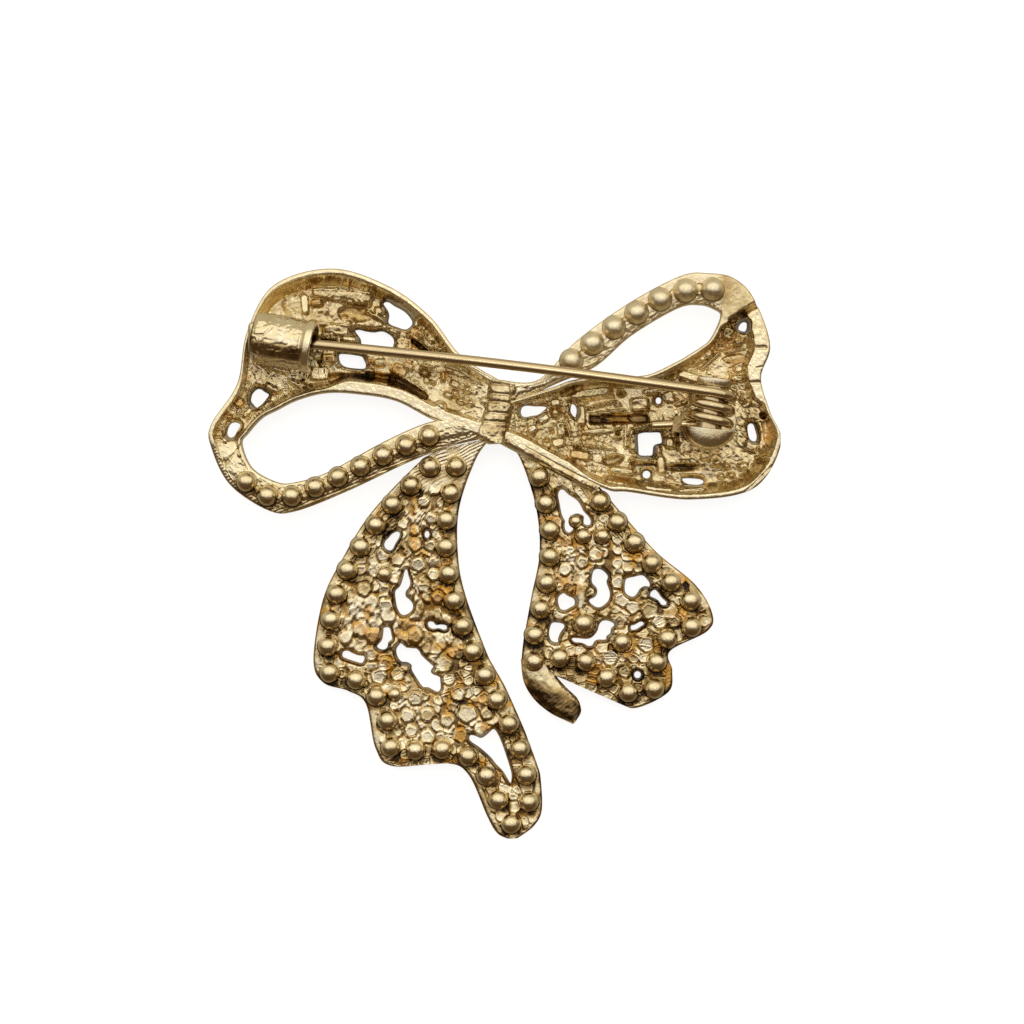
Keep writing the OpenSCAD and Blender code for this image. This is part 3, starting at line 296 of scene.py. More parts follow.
# Ridges and grooves from one point to another: column, line, column, line, width at each end, rise in mm.
STROKES = [
    # left loop
    (312, 291.5, 371, 297.5, 11, 18, 1.55), (312, 289, 352, 288.5, 3, 3, 1.62),
    (352, 288.5, 372, 294, 3, 3, 1.62), (314, 294, 345, 301.5, 2, 2, 1.6),
    (345, 301.5, 364, 302.5, 2, 2, 1.6), (364, 302.5, 373, 296.5, 2, 2, 1.6),
    (365, 310, 400, 329, 5, 5, 1.4), (319, 335.5, 336, 338, 2, 2, 1.2),
    (319, 339.5, 336, 341.5, 3.5, 3.5, -0.7), (415, 333, 432, 349, 2, 2, 1.5),
    (418.5, 333.5, 433.5, 349, 2, 2, 1.65), (422, 330, 434.5, 348, 2, 2, 1.5),
    (412, 339.5, 427, 351, 6, 4, -0.9), (336, 364, 345, 367.5, 3, 3, 1.2),
    (345, 367.5, 373, 370.5, 3, 3, 1.2), (328, 377, 372, 376.5, 9, 9, -0.8),
    (390, 369, 426, 391.5, 2.5, 2.5, 1.5), (390, 375, 426, 398, 7, 7, -0.9),
    (368, 376, 394, 377, 8, 8, -0.8), (420, 364.5, 433, 367, 3, 3, 1.3), (443, 365, 460, 370.5, 2, 2, 1.3),
    (460, 370.5, 482, 384.5, 2, 2, 1.3), (443, 371, 443, 381, 5, 5, 1.0),
    (320, 323.5, 352, 325, 2, 2, 1.3), (320, 334, 352, 333, 2, 2, 1.3), (256, 361, 287, 372, 5, 7, 0.7),
    # right loop
    (528, 389, 580, 380.5, 3.5, 4.5, -0.8), (521, 395, 562, 387, 1.8, 1.8, 0.7),
    (521, 399.5, 575, 391, 4, 6.5, -0.9), (521, 404, 548, 402, 2.2, 2.2, 0.9),
    (583, 409.5, 618, 400.5, 3, 3, 1.3), (591, 414.5, 626, 409.5, 2.5, 2.5, 1.2),
    (616, 406, 622, 403.5, 2.5, 2.5, 1.3), (590, 419, 648, 418.5, 11, 10, -0.8),
    (566, 417, 571, 437, 5, 6, 0.8), (572, 444, 616, 449, 2.2, 2.2, 1.25), (626, 423, 626, 448, 4, 4, 0.5),
    (630, 436, 633, 428.5, 5, 5, 1.5), (633, 428.5, 653, 423.5, 4.5, 3.5, 1.5),
    (678.5, 431, 678.5, 451, 2.5, 2.5, -0.6), (631, 464.5, 656, 464.5, 2, 2, -0.8),
    (671, 402, 679, 398, 2.2, 2.2, 1.1), (676, 405, 687, 398.5, 2.2, 2.2, 1.1),
    (683, 404, 691, 399.5, 2.2, 2.2, 1.0), (757, 457, 771, 458, 2.6, 2.6, 1.6),
    (702, 369, 720, 352, 4, 4, 1.4), (727, 353, 745, 348, 2.2, 2.2, 1.35), (648, 396, 647, 412, 3, 3, 0.5),
    (716, 335, 727, 321, 3, 3, 1.3), (735, 330, 731, 322, 3, 3, 1.1), (570, 400.5, 615, 395.5, 3, 3, 0.5),
    (560, 399, 572, 436, 2.5, 3, -0.3), (760, 421, 764, 452, 9, 9, 0.5),
]
# Fine parallel ridges: column, line, length, width, turn of the patch, turn of the ridges, and pitch and
# height in mm.
RIBBED = [
    (342, 295, 62, 12, -4, 40, 0.3, 0.05), (354, 313, 40, 20, -4, 30, 0.22, 0.07),
    (435, 335, 20, 15, 25, 25, 0.3, 0.09), (618, 418, 66, 11, 0, 4, 0.24, 0.08),
    (613, 460, 28, 12, 12, 16, 0.3, 0.1), (684, 467, 36, 10, 4, 8, 0.26, 0.08),
    (556, 395, 60, 8, 9, 9, 0.22, 0.06), (590, 393, 50, 11, 8, 60, 0.26, 0.06),
    (755, 330, 18, 60, 8, 20, 0.5, 0.05),
]
# Creases that run on over rims and flats: column, line, column, line, width in steps, depth in mm.
CREASES = [
    (243, 443, 226, 463.5, 2.2, 0.16), (226, 463.5, 221.5, 461, 2.2, 0.16),
    (757, 304.5, 731, 320.5, 4.5, 0.75), (756, 348, 765, 348, 3, 0.2), (751, 383, 760, 383, 3, 0.16),
    (771, 467, 746, 491, 1.8, 0.22), (756, 368, 768, 366, 1.6, 0.12), (258, 337.5, 267, 337.5, 1.6, 0.13),
    (267, 337.5, 276, 329.5, 1.6, 0.13), (258, 335.5, 266, 335.5, 1.4, -0.05),
    (263.5, 341, 263.5, 358, 1.6, -0.07), (266, 343, 266, 357, 1.4, 0.08), (249, 355, 268, 371, 2.2, -0.1),
    (261, 357, 275, 371, 2, -0.1), (255, 356, 271, 371, 1.6, 0.08), (253, 341, 258, 341, 3, 0.1),
]
# Grooves across the knot: their lines on the grid.
KNOT_GROOVES = (384, 394, 402, 413, 422)
# Amber stains on the loops: column, line, length, width, turn.
AMBER = [
    (316, 302, 16, 12, 0), (354, 314, 38, 16, -4), (414, 332, 10, 16, 0), (415, 349, 17, 8, -20),
    (396, 370, 18, 16, -25), (443, 376, 9, 12, 0), (239, 404, 10, 12, -40), (229, 417, 8, 9, -40),
    (328, 357, 14, 10, 0), (368, 361, 10, 8, 0), (556, 409, 13, 8, 0), (580, 455, 28, 13, -10),
    (575, 463, 26, 10, -35), (590, 400, 50, 4, 8), (647, 404, 6, 22, 0), (658, 410, 6, 14, 0),
    (680, 402, 22, 14, 30), (736, 358, 28, 12, 5), (765, 432, 16, 44, 8), (738, 332, 10, 16, 0),
    (620, 480, 42, 9, -8), (632, 466, 10, 6, 0), (694, 452, 26, 12, 0), (568, 425, 6, 24, 12),
    (700, 440, 30, 20, 0),
]


def place(rows):
    """Shares in percent of the bow turned to mm from its middle: the columns x, y and, where a row has
    them, the other edge's x, y. Further columns stay."""
    a = np.asarray(rows, float).copy()
    a[..., 0] *= BOW_W / 100
    a[..., 1] *= BOW_H / 100
    if a.shape[-1] >= 4:
        a[..., 2] *= BOW_W / 100
        a[..., 3] *= BOW_H / 100
    return a


def rows_at(rows, s):
    """Catmull-Rom curve through the rows of a table, at the places s counted in rows.
    Each point is 0.5 (2b + (c-a) t + (2a-5b+4c-d) t^2 + (3b-a-3c+d) t^3)."""
    rows = np.asarray(rows, float)
    s = np.asarray(s, float)
    i = np.clip(np.floor(s).astype(int), 0, len(rows) - 2)
    t = (s - i)[:, None]
    a, b, c = rows[np.maximum(i - 1, 0)], rows[i], rows[i + 1]
    d = rows[np.minimum(i + 2, len(rows) - 1)]
    return 0.5 * (2 * b + (c - a) * t + (2 * a - 5 * b + 4 * c - d) * t**2 + (3 * b - a - 3 * c + d) * t**3)


def smooth(lo, hi, x):
    """Rises from 0 at lo to 1 at hi as 3t^2 - 2t^3."""
    t = np.clip((x - lo) / (hi - lo), 0, 1)
    return t * t * (3 - 2 * t)


def tail_z(y):
    """Height of a tail's back face at y: a smooth fall from beside the knot to the tip."""
    t = np.clip(0.6 - y / BOW_H * 1.2, 0, 1)
    return TAIL_ROOT_Z + (TAIL_TIP_Z - TAIL_ROOT_Z) * t * t * (3 - 2 * t)


def lattice(ix, iy, seed):
    """A fixed pseudo-random number from 0 to 1 for each whole-number point of a plane."""
    h = np.sin(ix * 127.1 + iy * 311.7 + seed * 74.7) * 43758.5453
    return h - np.floor(h)


def grain(x, y, size, seed):
    """Cast grain: lattice numbers a grain's size apart, blended smoothly, from -1 to 1."""
    u, v = x / size, y / size
    i, j = np.floor(u), np.floor(v)
    a, b = smooth(0, 1, u - i), smooth(0, 1, v - j)
    low = lattice(i, j, seed) * (1 - a) + lattice(i + 1, j, seed) * a
    high = lattice(i, j + 1, seed) * (1 - a) + lattice(i + 1, j + 1, seed) * a
    return 2 * (low * (1 - b) + high * b) - 1


def cobbles(x, y, seeds, groove, reach):
    """Flat-topped round cells round scattered seeds (x, y, extra reach, rise, tilt x, tilt y).
    A cell belongs to the nearest seed, and ends where the two nearest are level or at its reach. Its top is
    the seed's rise, a little tilted and dished, with a lip at the edge. Returns the height."""
    least, dish, lip = 0.07, 0.06, 0.14
    height = np.empty_like(x)
    for part in np.array_split(np.arange(len(x)), max(1, len(x) * len(seeds) // AT_ONCE)):
        px, py = x[part], y[part]
        d = np.hypot(px[:, None] - seeds[:, 0], py[:, None] - seeds[:, 1]) - seeds[:, 2]
        near = np.argmin(d, axis=1)
        two = np.partition(d, 1, axis=1)[:, :2]
        edge = np.minimum((two[:, 1] - two[:, 0]) / 2, reach - two[:, 0])
        s = seeds[near]
        top = s[:, 3] + least + s[:, 4] * (px - s[:, 0]) + s[:, 5] * (py - s[:, 1])
        height[part] = top * smooth(0, groove, edge) - dish * smooth(groove, groove + lip, edge)
    return height


def gap_outline(corners, points):
    """A smooth closed curve in mm through charted corners, or an oval from its middle, width and height."""
    if isinstance(corners, tuple):
        t = np.linspace(0, 2 * np.pi, points, endpoint=False)
        col, line = corners[0] + corners[2] / 2 * np.cos(t), corners[1] + corners[3] / 2 * np.sin(t)
    else:
        n = len(corners)
        loop = np.array([corners[-1], *corners, corners[0], corners[1]], float)
        col, line = rows_at(loop, 1 + np.linspace(0, n, points, endpoint=False)).T
    out = np.stack([(col - CHART_X) * CHART_STEP, (CHART_Y - line) * CHART_STEP], axis=1)
    turn = out[:, 0] * np.roll(out[:, 1], -1) - out[:, 1] * np.roll(out[:, 0], -1)
    return out if turn.sum() > 0 else out[::-1]


OUTLINES = [gap_outline(corners, 48) for corners in GAPS]


def gap_distance(x, y):
    """Distance in mm from the nearest gap's outline, up to 1.5."""
    best = np.full_like(x, 1.5)
    for outline in OUTLINES:
        middle = outline.mean(axis=0)
        reach = np.linalg.norm(outline - middle, axis=1).max() + 1.5
        near = np.hypot(x - middle[0], y - middle[1]) < reach
        if near.any():
            d = np.hypot(x[near, None] - outline[:, 0], y[near, None] - outline[:, 1]).min(axis=1)
            best[near] = np.minimum(best[near], d)
    return best


def framed(x, y, col, line, turn, reach):
    """The points within reach of a charted place, and how far they are along and across the turn, in mm."""
    cx, cy = (col - CHART_X) * CHART_STEP, (CHART_Y - line) * CHART_STEP
    near = np.hypot(x - cx, y - cy) < reach
    c, s = math.cos(math.radians(turn)), math.sin(math.radians(turn))
    return near, (x[near] - cx) * c + (y[near] - cy) * s, (y[near] - cy) * c - (x[near] - cx) * s


def charted(x, y):
    """Relief of the charts, as its raised and its sunk part. A form rises over a rounded box
    |u/a|^n + |v/b|^n <= 1 with soft edges, or as half an ellipse where n is 2, and a stroke over a tapered
    strip. Raised forms are a little tilted, and the highest of them counts. What is sunk adds up."""
    up, down = np.zeros_like(x), np.zeros_like(x)
    for k, (col, line, long, wide, turn, rise, n) in enumerate(RELIEF):
        a, b = long * CHART_STEP / 2, wide * CHART_STEP / 2
        near, u, v = framed(x, y, col, line, turn, max(a, b) * 1.5)
        q = (np.abs(u / a) ** n + np.abs(v / b) ** n) ** (1 / n)
        form = smooth(1, 1 - min(0.9, 0.17 / b), q) if n > 2 else np.sqrt(np.clip(1 - q * q, 0, 1))
        if rise > 0:
            tilt = 0.14 * (u * math.sin(k * 2.3) + v * math.cos(k * 3.1))
            up[near] = np.maximum(up[near], (rise + np.clip(tilt, -0.15, 0.15)) * form)
        else:
            down[near] += rise * form
    for col0, line0, col1, line1, wide0, wide1, rise in STROKES:
        half = math.hypot(col1 - col0, line1 - line0) * CHART_STEP / 2
        turn = math.degrees(math.atan2(line0 - line1, col1 - col0))
        near, u, v = framed(x, y, (col0 + col1) / 2, (line0 + line1) / 2, turn, half + wide1 * CHART_STEP)
        b = CHART_STEP / 2 * (wide0 + (wide1 - wide0) * (u / half + 1) / 2)
        form = smooth(1.1, 0.45, np.abs(v) / b) * smooth(half + 0.12, half - 0.12, np.abs(u))
        if rise > 0:
            up[near] = np.maximum(up[near], rise * form)
        else:
            down[near] += rise * form
    return up, down


def fine_ridges(x, y):
    """Height of the charted patches of fine parallel ridges."""
    out = np.zeros_like(x)
    for col, line, long, wide, turn, way, pitch, high in RIBBED:
        a, b = long * CHART_STEP / 2, wide * CHART_STEP / 2
        near, u, v = framed(x, y, col, line, turn, math.hypot(a, b))
        inside = smooth(1, 0.75, np.maximum(np.abs(u / a), np.abs(v / b)))
        out[near] += high * inside * filed(x[near], y[near], way, pitch)
    return out


def stains(x, y):
    """How much of a charted amber stain lies at each point, 0 to 1."""
    out = np.zeros_like(x)
    for col, line, long, wide, turn in AMBER:
        a, b = long * CHART_STEP / 2, wide * CHART_STEP / 2
        near, u, v = framed(x, y, col, line, turn, max(a, b) * 1.3)
        edge = np.hypot(u / a, v / b) + 0.25 * grain(x[near], y[near], 0.5, 71)
        out[near] = np.maximum(out[near], smooth(1.15, 0.7, edge))
    return out


def creases(x, y):
    """Depth of the creases: each falls off from its line as exp(-(d/w)^2), with d the distance from it."""
    out = np.zeros_like(x)
    for col0, line0, col1, line1, wide, deep in CREASES:
        half = math.hypot(col1 - col0, line1 - line0) * CHART_STEP / 2
        turn = math.degrees(math.atan2(line0 - line1, col1 - col0))
        near, u, v = framed(x, y, (col0 + col1) / 2, (line0 + line1) / 2, turn, half + wide * CHART_STEP)
        d = np.hypot(np.maximum(np.abs(u) - half, 0), v) + 0.04 * grain(x[near], y[near], 0.4, 72)
        out[near] += deep * np.exp(-(d / (wide * CHART_STEP / 2)) ** 2)
    return out


def scattered(lo, hi, spacing, seed, rise, tilt):
    """Seeds on a jittered grid from lo to hi. Columns: x, y, extra reach, rise from rise[0] to the sum of
    both, and tilt x, tilt y up to half of tilt."""
    gx, gy = np.meshgrid(np.arange(lo[0], hi[0], spacing), np.arange(lo[1], hi[1], spacing * 0.9))
    gx, gy = gx.ravel(), gy.ravel()
    i, j = np.round(gx / spacing), np.round(gy / spacing)
    draw = [lattice(i, j, seed + n) for n in range(6)]
    x = gx + (draw[0] - 0.5) * spacing * 0.8
    y = gy + (draw[1] - 0.5) * spacing * 0.8
    return np.stack([x, y, 0.25 * (draw[2] - 0.5), rise[0] + rise[1] * draw[3], tilt * (draw[4] - 0.5),
                     tilt * (draw[5] - 0.5)], axis=1)


def mesh_piece(name, verts, faces, body="brooch", stands_for="bow_casting"):
    """A finished piece from points in mm and lists of face corners."""
    mesh = bpy.data.meshes.new(name)
    mesh.from_pydata(np.asarray(verts) * MM, [], faces)
    mesh.validate()
    mesh.polygons.foreach_set("use_smooth", np.ones(len(mesh.polygons), bool))
    mesh.update()
    piece = bpy.data.objects.new(name, mesh)
    bpy.context.collection.objects.link(piece)
    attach(piece, body)
    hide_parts(stands_for)
    return piece


def ring_faces(rings, n):
    """Faces of a closed skin over rings of n points, with a flat cap at each end.
    Every quad joins point k and k+1 of one ring to those of the next."""
    r, k = np.meshgrid(np.arange(rings - 1), np.arange(n), indexing="ij")
    k2 = (k + 1) % n
    quads = np.stack([r * n + k, r * n + k2, (r + 1) * n + k2, (r + 1) * n + k], axis=-1).reshape(-1, 4)
    return quads.tolist() + [list(range(n))[::-1], list(range((rings - 1) * n, rings * n))]


def turned_out(verts, faces):
    """The faces, turned over if the closed skin's volume comes out negative."""
    v = np.asarray(verts)
    q = np.array(faces[:-2])
    vol = (np.einsum("ij,ij->i", v[q[:, 0]], np.cross(v[q[:, 1]], v[q[:, 2]]))
           + np.einsum("ij,ij->i", v[q[:, 0]], np.cross(v[q[:, 2]], v[q[:, 3]]))).sum()
    return faces if vol > 0 else [f[::-1] for f in faces]


def ribbon(name, rows, steps, across, back, front):
    """A ribbon: a profile across it, from edge to edge over the back and home over the front, carried
    along the rows. Its points crowd towards both edges, as (1 - cos(pi e) (0.75 + 0.25 |cos(pi e)|)) / 2
    for e from 0 to 1. back and front give the height for (x, y, share across, width, last number of the
    row)."""
    row = rows_at(place(rows), np.linspace(0, len(rows) - 1, steps))
    a, b = row[:, None, 0:2], row[:, None, 2:4]
    c = np.cos(np.pi * np.linspace(0, 1, across))
    over_back = 0.5 - 0.5 * c * (0.75 + 0.25 * np.abs(c))
    profile = np.concatenate([over_back, np.linspace(1, 0, FRONT_POINTS)])
    xy = np.clip(a + (b - a) * profile[None, :, None], EDGE_CLEAR - BOW_W / 2, BOW_W / 2 - EDGE_CLEAR)
    x, y = xy[..., 0], xy[..., 1]
    share = np.broadcast_to(profile, x.shape)
    wide = np.broadcast_to(np.linalg.norm(b - a, axis=2), x.shape)
    rest = np.broadcast_to(row[:, None, -1], x.shape)
    z = np.empty_like(x)
    for part, height in ((np.s_[:, :across], back), (np.s_[:, across:], front)):
        z[part] = height(x[part], y[part], share[part], wide[part], rest[part])
    verts = np.stack([x, y, z], axis=-1).reshape(-1, 3)
    return mesh_piece(name, verts, turned_out(verts, ring_faces(steps, len(profile))))


def edge_drop(share, wide, size, depth):
    """Rounded edge: the back falls by depth over the last size mm, as a quarter of a circle."""
    d = np.clip(np.minimum(share, 1 - share) * wide / size, 0, 1)
    return depth * (1 - np.sqrt(1 - (1 - d) ** 2))


def filed(x, y, turn, pitch):
    """File lines: ridges across the direction turn, pitch mm apart, that waver and fade in and out."""
    c, sn = math.cos(math.radians(turn)), math.sin(math.radians(turn))
    across = (y * c - x * sn) / pitch + 0.35 * grain(x, y, 1.1, 61)
    return np.sin(2 * np.pi * across) * (0.6 + 0.4 * grain(x, y, 0.7, 62))


def loop_back(x, y, share, wide, hollow):
    """Hollow loop: rims at the loop's height, rough walls down to a floor with the charted relief on it, and
    small cells in patches. The flat ribbon slopes towards its outer edge and is filed there."""
    shape = x.shape
    x, y, share, wide, hollow = x.ravel(), y.ravel(), share.ravel(), wide.ravel(), hollow.ravel()
    deep = np.clip(hollow, 0, 1) * (LOOP_Z - WALL)
    right = x > 0
    outer = OUTER_RIM + right * (0.5 * smooth(9.5, 7, x) + 1.0 * smooth(14.2, 15, y))
    inner = np.where(right, 0.25, 0.3 + (INNER_RIM - 0.3) * smooth(-16.5, -13.5, x))
    rim_a, rim_b = np.minimum(0.3, outer / wide), np.minimum(0.35, inner / wide)
    into = smooth(0, 1, (share - rim_a) / 0.1) * (1 - smooth(0, 1, (share - (0.92 - rim_b)) / 0.08))
    below = (x - FOLD[0]) * FOLD[2] + (y - FOLD[1]) * FOLD[3]
    into = np.where((x > FOLD_CORNER[0]) & (y > FOLD_CORNER[1]), into * smooth(-0.1, 0.2, below), into)
    seeds = scattered((-28, 2), (28, 28), 0.62, 11, (0.02, 0.2), 0.35)
    cells = cobbles(x + 0.12 * grain(x, y, 0.8, 3), y + 0.12 * grain(x, y, 0.8, 4), seeds, 0.1, 0.4)
    cells *= smooth(-0.25, 0.15, grain(x, y, 2.4, 7))
    bare = 0.12 + 0.1 * grain(x, y, 1.5, 8)
    up, down = charted(x, y)
    part = into * np.clip(deep / 1.2, 0, 1)
    z = LOOP_Z - deep * into + part * (np.maximum(up, bare + cells) + 0.8 * down + fine_ridges(x, y))
    z = np.minimum(z, LOOP_Z + 0.02)
    flat = smooth(0.25, 0.05, hollow)
    low_side = np.where(x < 0, smooth(0.5, 0.0, share), 0.5 * smooth(0.5, 1.0, share))
    z -= flat * (0.34 * low_side - 0.045 * low_side * filed(x, y, 20, 0.3))
    z -= part * 0.3 * np.exp(-((gap_distance(x, y) - 0.15) / 0.2) ** 2) + creases(x, y)
    z += into * (1 - into) * (0.5 * grain(x, y, 0.38, 9) + 0.45 * grain(x, y, 0.2, 10))
    z += (0.012 + 0.035 * into) * grain(x, y, 0.42, 5) + (0.01 + 0.028 * into) * grain(x, y, 0.19, 6)
    z -= edge_drop(share, wide, 0.32, 0.22)
    return np.maximum(z, THIN_FLOOR).reshape(shape)


def loop_front(x, y, share, wide, hollow):
    """Plain round front of a loop, from the thin edge down to the surface that the brooch lies on."""
    deep = np.clip(hollow, 0, 1) * (LOOP_Z - WALL)
    low = np.minimum(LOOP_Z - RIM_T, LOOP_Z - deep - WALL)
    return low + (LOOP_Z - RIM_T - low) * np.abs(2 * share - 1) ** 2.5


def round_pads(x, y):
    """Charted pads of the tails: discs with a slightly cornered outline, a steep side, a raised lip and a
    shallow dish with scratches, each a little tilted, in a narrow moat. The outline is
    r (1 + 0.06 cos(5a + 1.7k) + 0.04 cos(3a + k)) for pad k.
    Returns their height where one stands, -1 elsewhere, and the moat's depth."""
    rise, lean, dish, scratch, pitch = 0.26, 0.08, 0.045, 0.009, 0.24
    top, moat = np.full_like(x, -1.0), np.zeros_like(x)
    for k, (px, py, wide) in enumerate(PADS):
        cx, cy, r = px * BOW_W / 100, py * BOW_H / 100, wide * BOW_W / 200
        near = np.hypot(x - cx, y - cy) < r + 0.6
        u, v = x[near] - cx, y[near] - cy
        a = np.arctan2(v, u)
        d = np.hypot(u, v) / (1 + 0.06 * np.cos(5 * a + k * 1.7) + 0.04 * np.cos(3 * a + k))
        tilt = u * lean * math.sin(k * 2.3) + v * lean * math.cos(k * 3.1)
        form = (rise + tilt) * smooth(r, r - 0.12, d) - dish * smooth(r - 0.12, r - 0.3, d)
        lines = np.sin(2 * np.pi * (u * math.cos(k) + v * math.sin(k)) / pitch)
        form += scratch * lines * smooth(r - 0.1, r - 0.3, d)
        top[near] = np.maximum(top[near], np.where(d < r, form, -1))
        moat[near] = np.maximum(moat[near], np.exp(-((d - r - 0.04) / 0.1) ** 2))
    return top, moat


def tail_back(x, y, share, wide, rest):
    """Flat tail: a smooth rim, and inside it charted pads and a leaf-shaped one, with small flat-topped
    cells between them, all lower round the gaps. Above the cells the left tail is filed and the right one
    finely grained."""
    shape = x.shape
    x, y, share, wide = x.ravel(), y.ravel(), share.ravel(), wide.ravel()
    seeds = scattered((-18, -28), (22, 12), 1.05, 21, (0.04, 0.1), 0.28)
    cells = cobbles(x + 0.03 * grain(x, y, 0.9, 13), y + 0.03 * grain(x, y, 0.9, 14), seeds, 0.08, 0.6)
    pad, moat = round_pads(x, y)
    d = np.minimum(share, 1 - share) * wide
    field = smooth(0.45, 0.75, d) * smooth(7.4, 5.6, y)
    leaf = smooth(1, 0.75, np.hypot((x - LEAF[0]) / LEAF[2], (y - LEAF[1]) / LEAF[3]))
    relief = np.maximum(np.maximum(cells - 0.15 * moat, pad), 0.27 * leaf)
    z = tail_z(y) - 0.08 * field + field * relief
    z -= 0.25 * field * np.exp(-((gap_distance(x, y) - 0.12) / 0.16) ** 2)
    above = smooth(5.8, 7.6, y)
    z += above * np.where(x < 0, 0.035 * filed(x, y, 25, 0.3), 0.04 * grain(x, y, 0.16, 17))
    z += 0.012 * grain(x, y, 0.35, 15) + 0.01 * grain(x, y, 0.17, 16)
    z -= edge_drop(share, wide, 0.42, 0.25)
    return z.reshape(shape)


def tail_front(x, y, share, wide, rest):
    """Plain front of a tail, which curves in at its edges."""
    d = np.clip(np.minimum(share, 1 - share) * wide / 0.4, 0, 1)
    return tail_z(y) - TAIL_T + 0.35 * (1 - d) ** 2


def loose_mesh(name, verts, faces):
    """An object from points in mm that cuts others and is deleted afterwards."""
    mesh = bpy.data.meshes.new(name)
    mesh.from_pydata(verts * MM, [], faces)
    mesh.update()
    cutter = bpy.data.objects.new(name, mesh)
    bpy.context.collection.objects.link(cutter)
    return cutter


def cut(piece, cutter):
    """Cuts a piece with a cutter, and keeps the result as the piece's own mesh."""
    gaps = piece.modifiers.new("gaps", "BOOLEAN")
    gaps.object, gaps.operation, gaps.solver = cutter, "DIFFERENCE", "MANIFOLD"
    done = bpy.data.meshes.new_from_object(piece.evaluated_get(bpy.context.evaluated_depsgraph_get()))
    piece.modifiers.clear()
    old, piece.data = piece.data, done
    bpy.data.meshes.remove(old)
    piece.data.polygons.foreach_set("use_smooth", np.ones(len(piece.data.polygons), bool))
    piece.data.update()


def gap_cutter():
    """A column through each gap: the gap's outline at the casting's front, moved outwards towards the
    back, so that the gap's wall slopes."""
    below, above = -1.0, 6.0
    verts, faces = [], []
    for outline in OUTLINES:
        step = np.roll(outline, -1, axis=0) - np.roll(outline, 1, axis=0)
        out = np.stack([step[:, 1], -step[:, 0]], axis=1) / np.linalg.norm(step, axis=1)[:, None]
        base = len(verts) * len(outline)
        x, y = outline.mean(axis=0)
        # A loop's front is higher beside the knot and at the left loop's bend.
        near_knot, near_bend = smooth(11, 5, abs(x)) * (x > 0), smooth(13.5, 12, y) * (x < 0)
        low = tail_z(y) - TAIL_T if y < TAILS_BELOW else 0.3 + 1.1 * max(near_knot, near_bend)
        slope = ((below, 0.0), (low, 0.0), (low + 0.4, 0.03), (low + TAIL_T + 0.1, 0.36), (above, 0.42))
        for z, grow in slope:
            verts.append(np.column_stack([outline + grow * out, np.full(len(outline), z)]))
        faces += [[base + i for i in f] for f in ring_faces(len(slope), len(outline))]
    return loose_mesh("gap_cutter", np.concatenate(verts), faces)


def along(path, count):
    """Points evenly spaced by length along a smooth curve through a path in percent of the bow."""
    s = np.linspace(0, len(path) - 1, len(path) * 16)
    curve = place(rows_at(path, s))
    ends = np.concatenate([[0], np.cumsum(np.linalg.norm(np.diff(curve, axis=0), axis=1))])
    want = np.linspace(0, ends[-1], count)
    return np.stack([np.interp(want, ends, curve[:, 0]), np.interp(want, ends, curve[:, 1])], axis=1)


def revolve(profile, sides):
    """Rings of points round Z from a profile of radius and height, and their faces, closed at both ends."""
    t = np.linspace(0, 2 * np.pi, sides, endpoint=False)
    r, z = profile[:, 0, None], profile[:, 1, None]
    verts = np.stack([r * np.cos(t), r * np.sin(t), z + 0 * t], axis=-1).reshape(-1, 3)
    return verts, ring_faces(len(profile), sides)


def top_ribbon(x, y):
    """1 on the right loop's flat ribbon, whose face is duller, and 0 elsewhere."""
    return smooth(4.5, 6.0, x) * smooth(13.0, 14.5, y - 0.35 * np.maximum(x - 8, 0)) * smooth(24.5, 23.5, x)


def write(piece, name, value):
    """Stores a number from 0 to 1 for each point of a piece."""
    layer = piece.data.attributes.new(name, "FLOAT", "POINT")
    layer.data.foreach_set("value", np.clip(value, 0, 1).astype(np.float32))


def row_spots():
    """The balls in rows: x, y in mm, 0 on a loop or 1 on a tail, and share of the balls' diameter."""
    return [(q[0], q[1], on, share) for n, on, share, path in BALL_ROWS for q in along(path, n)]


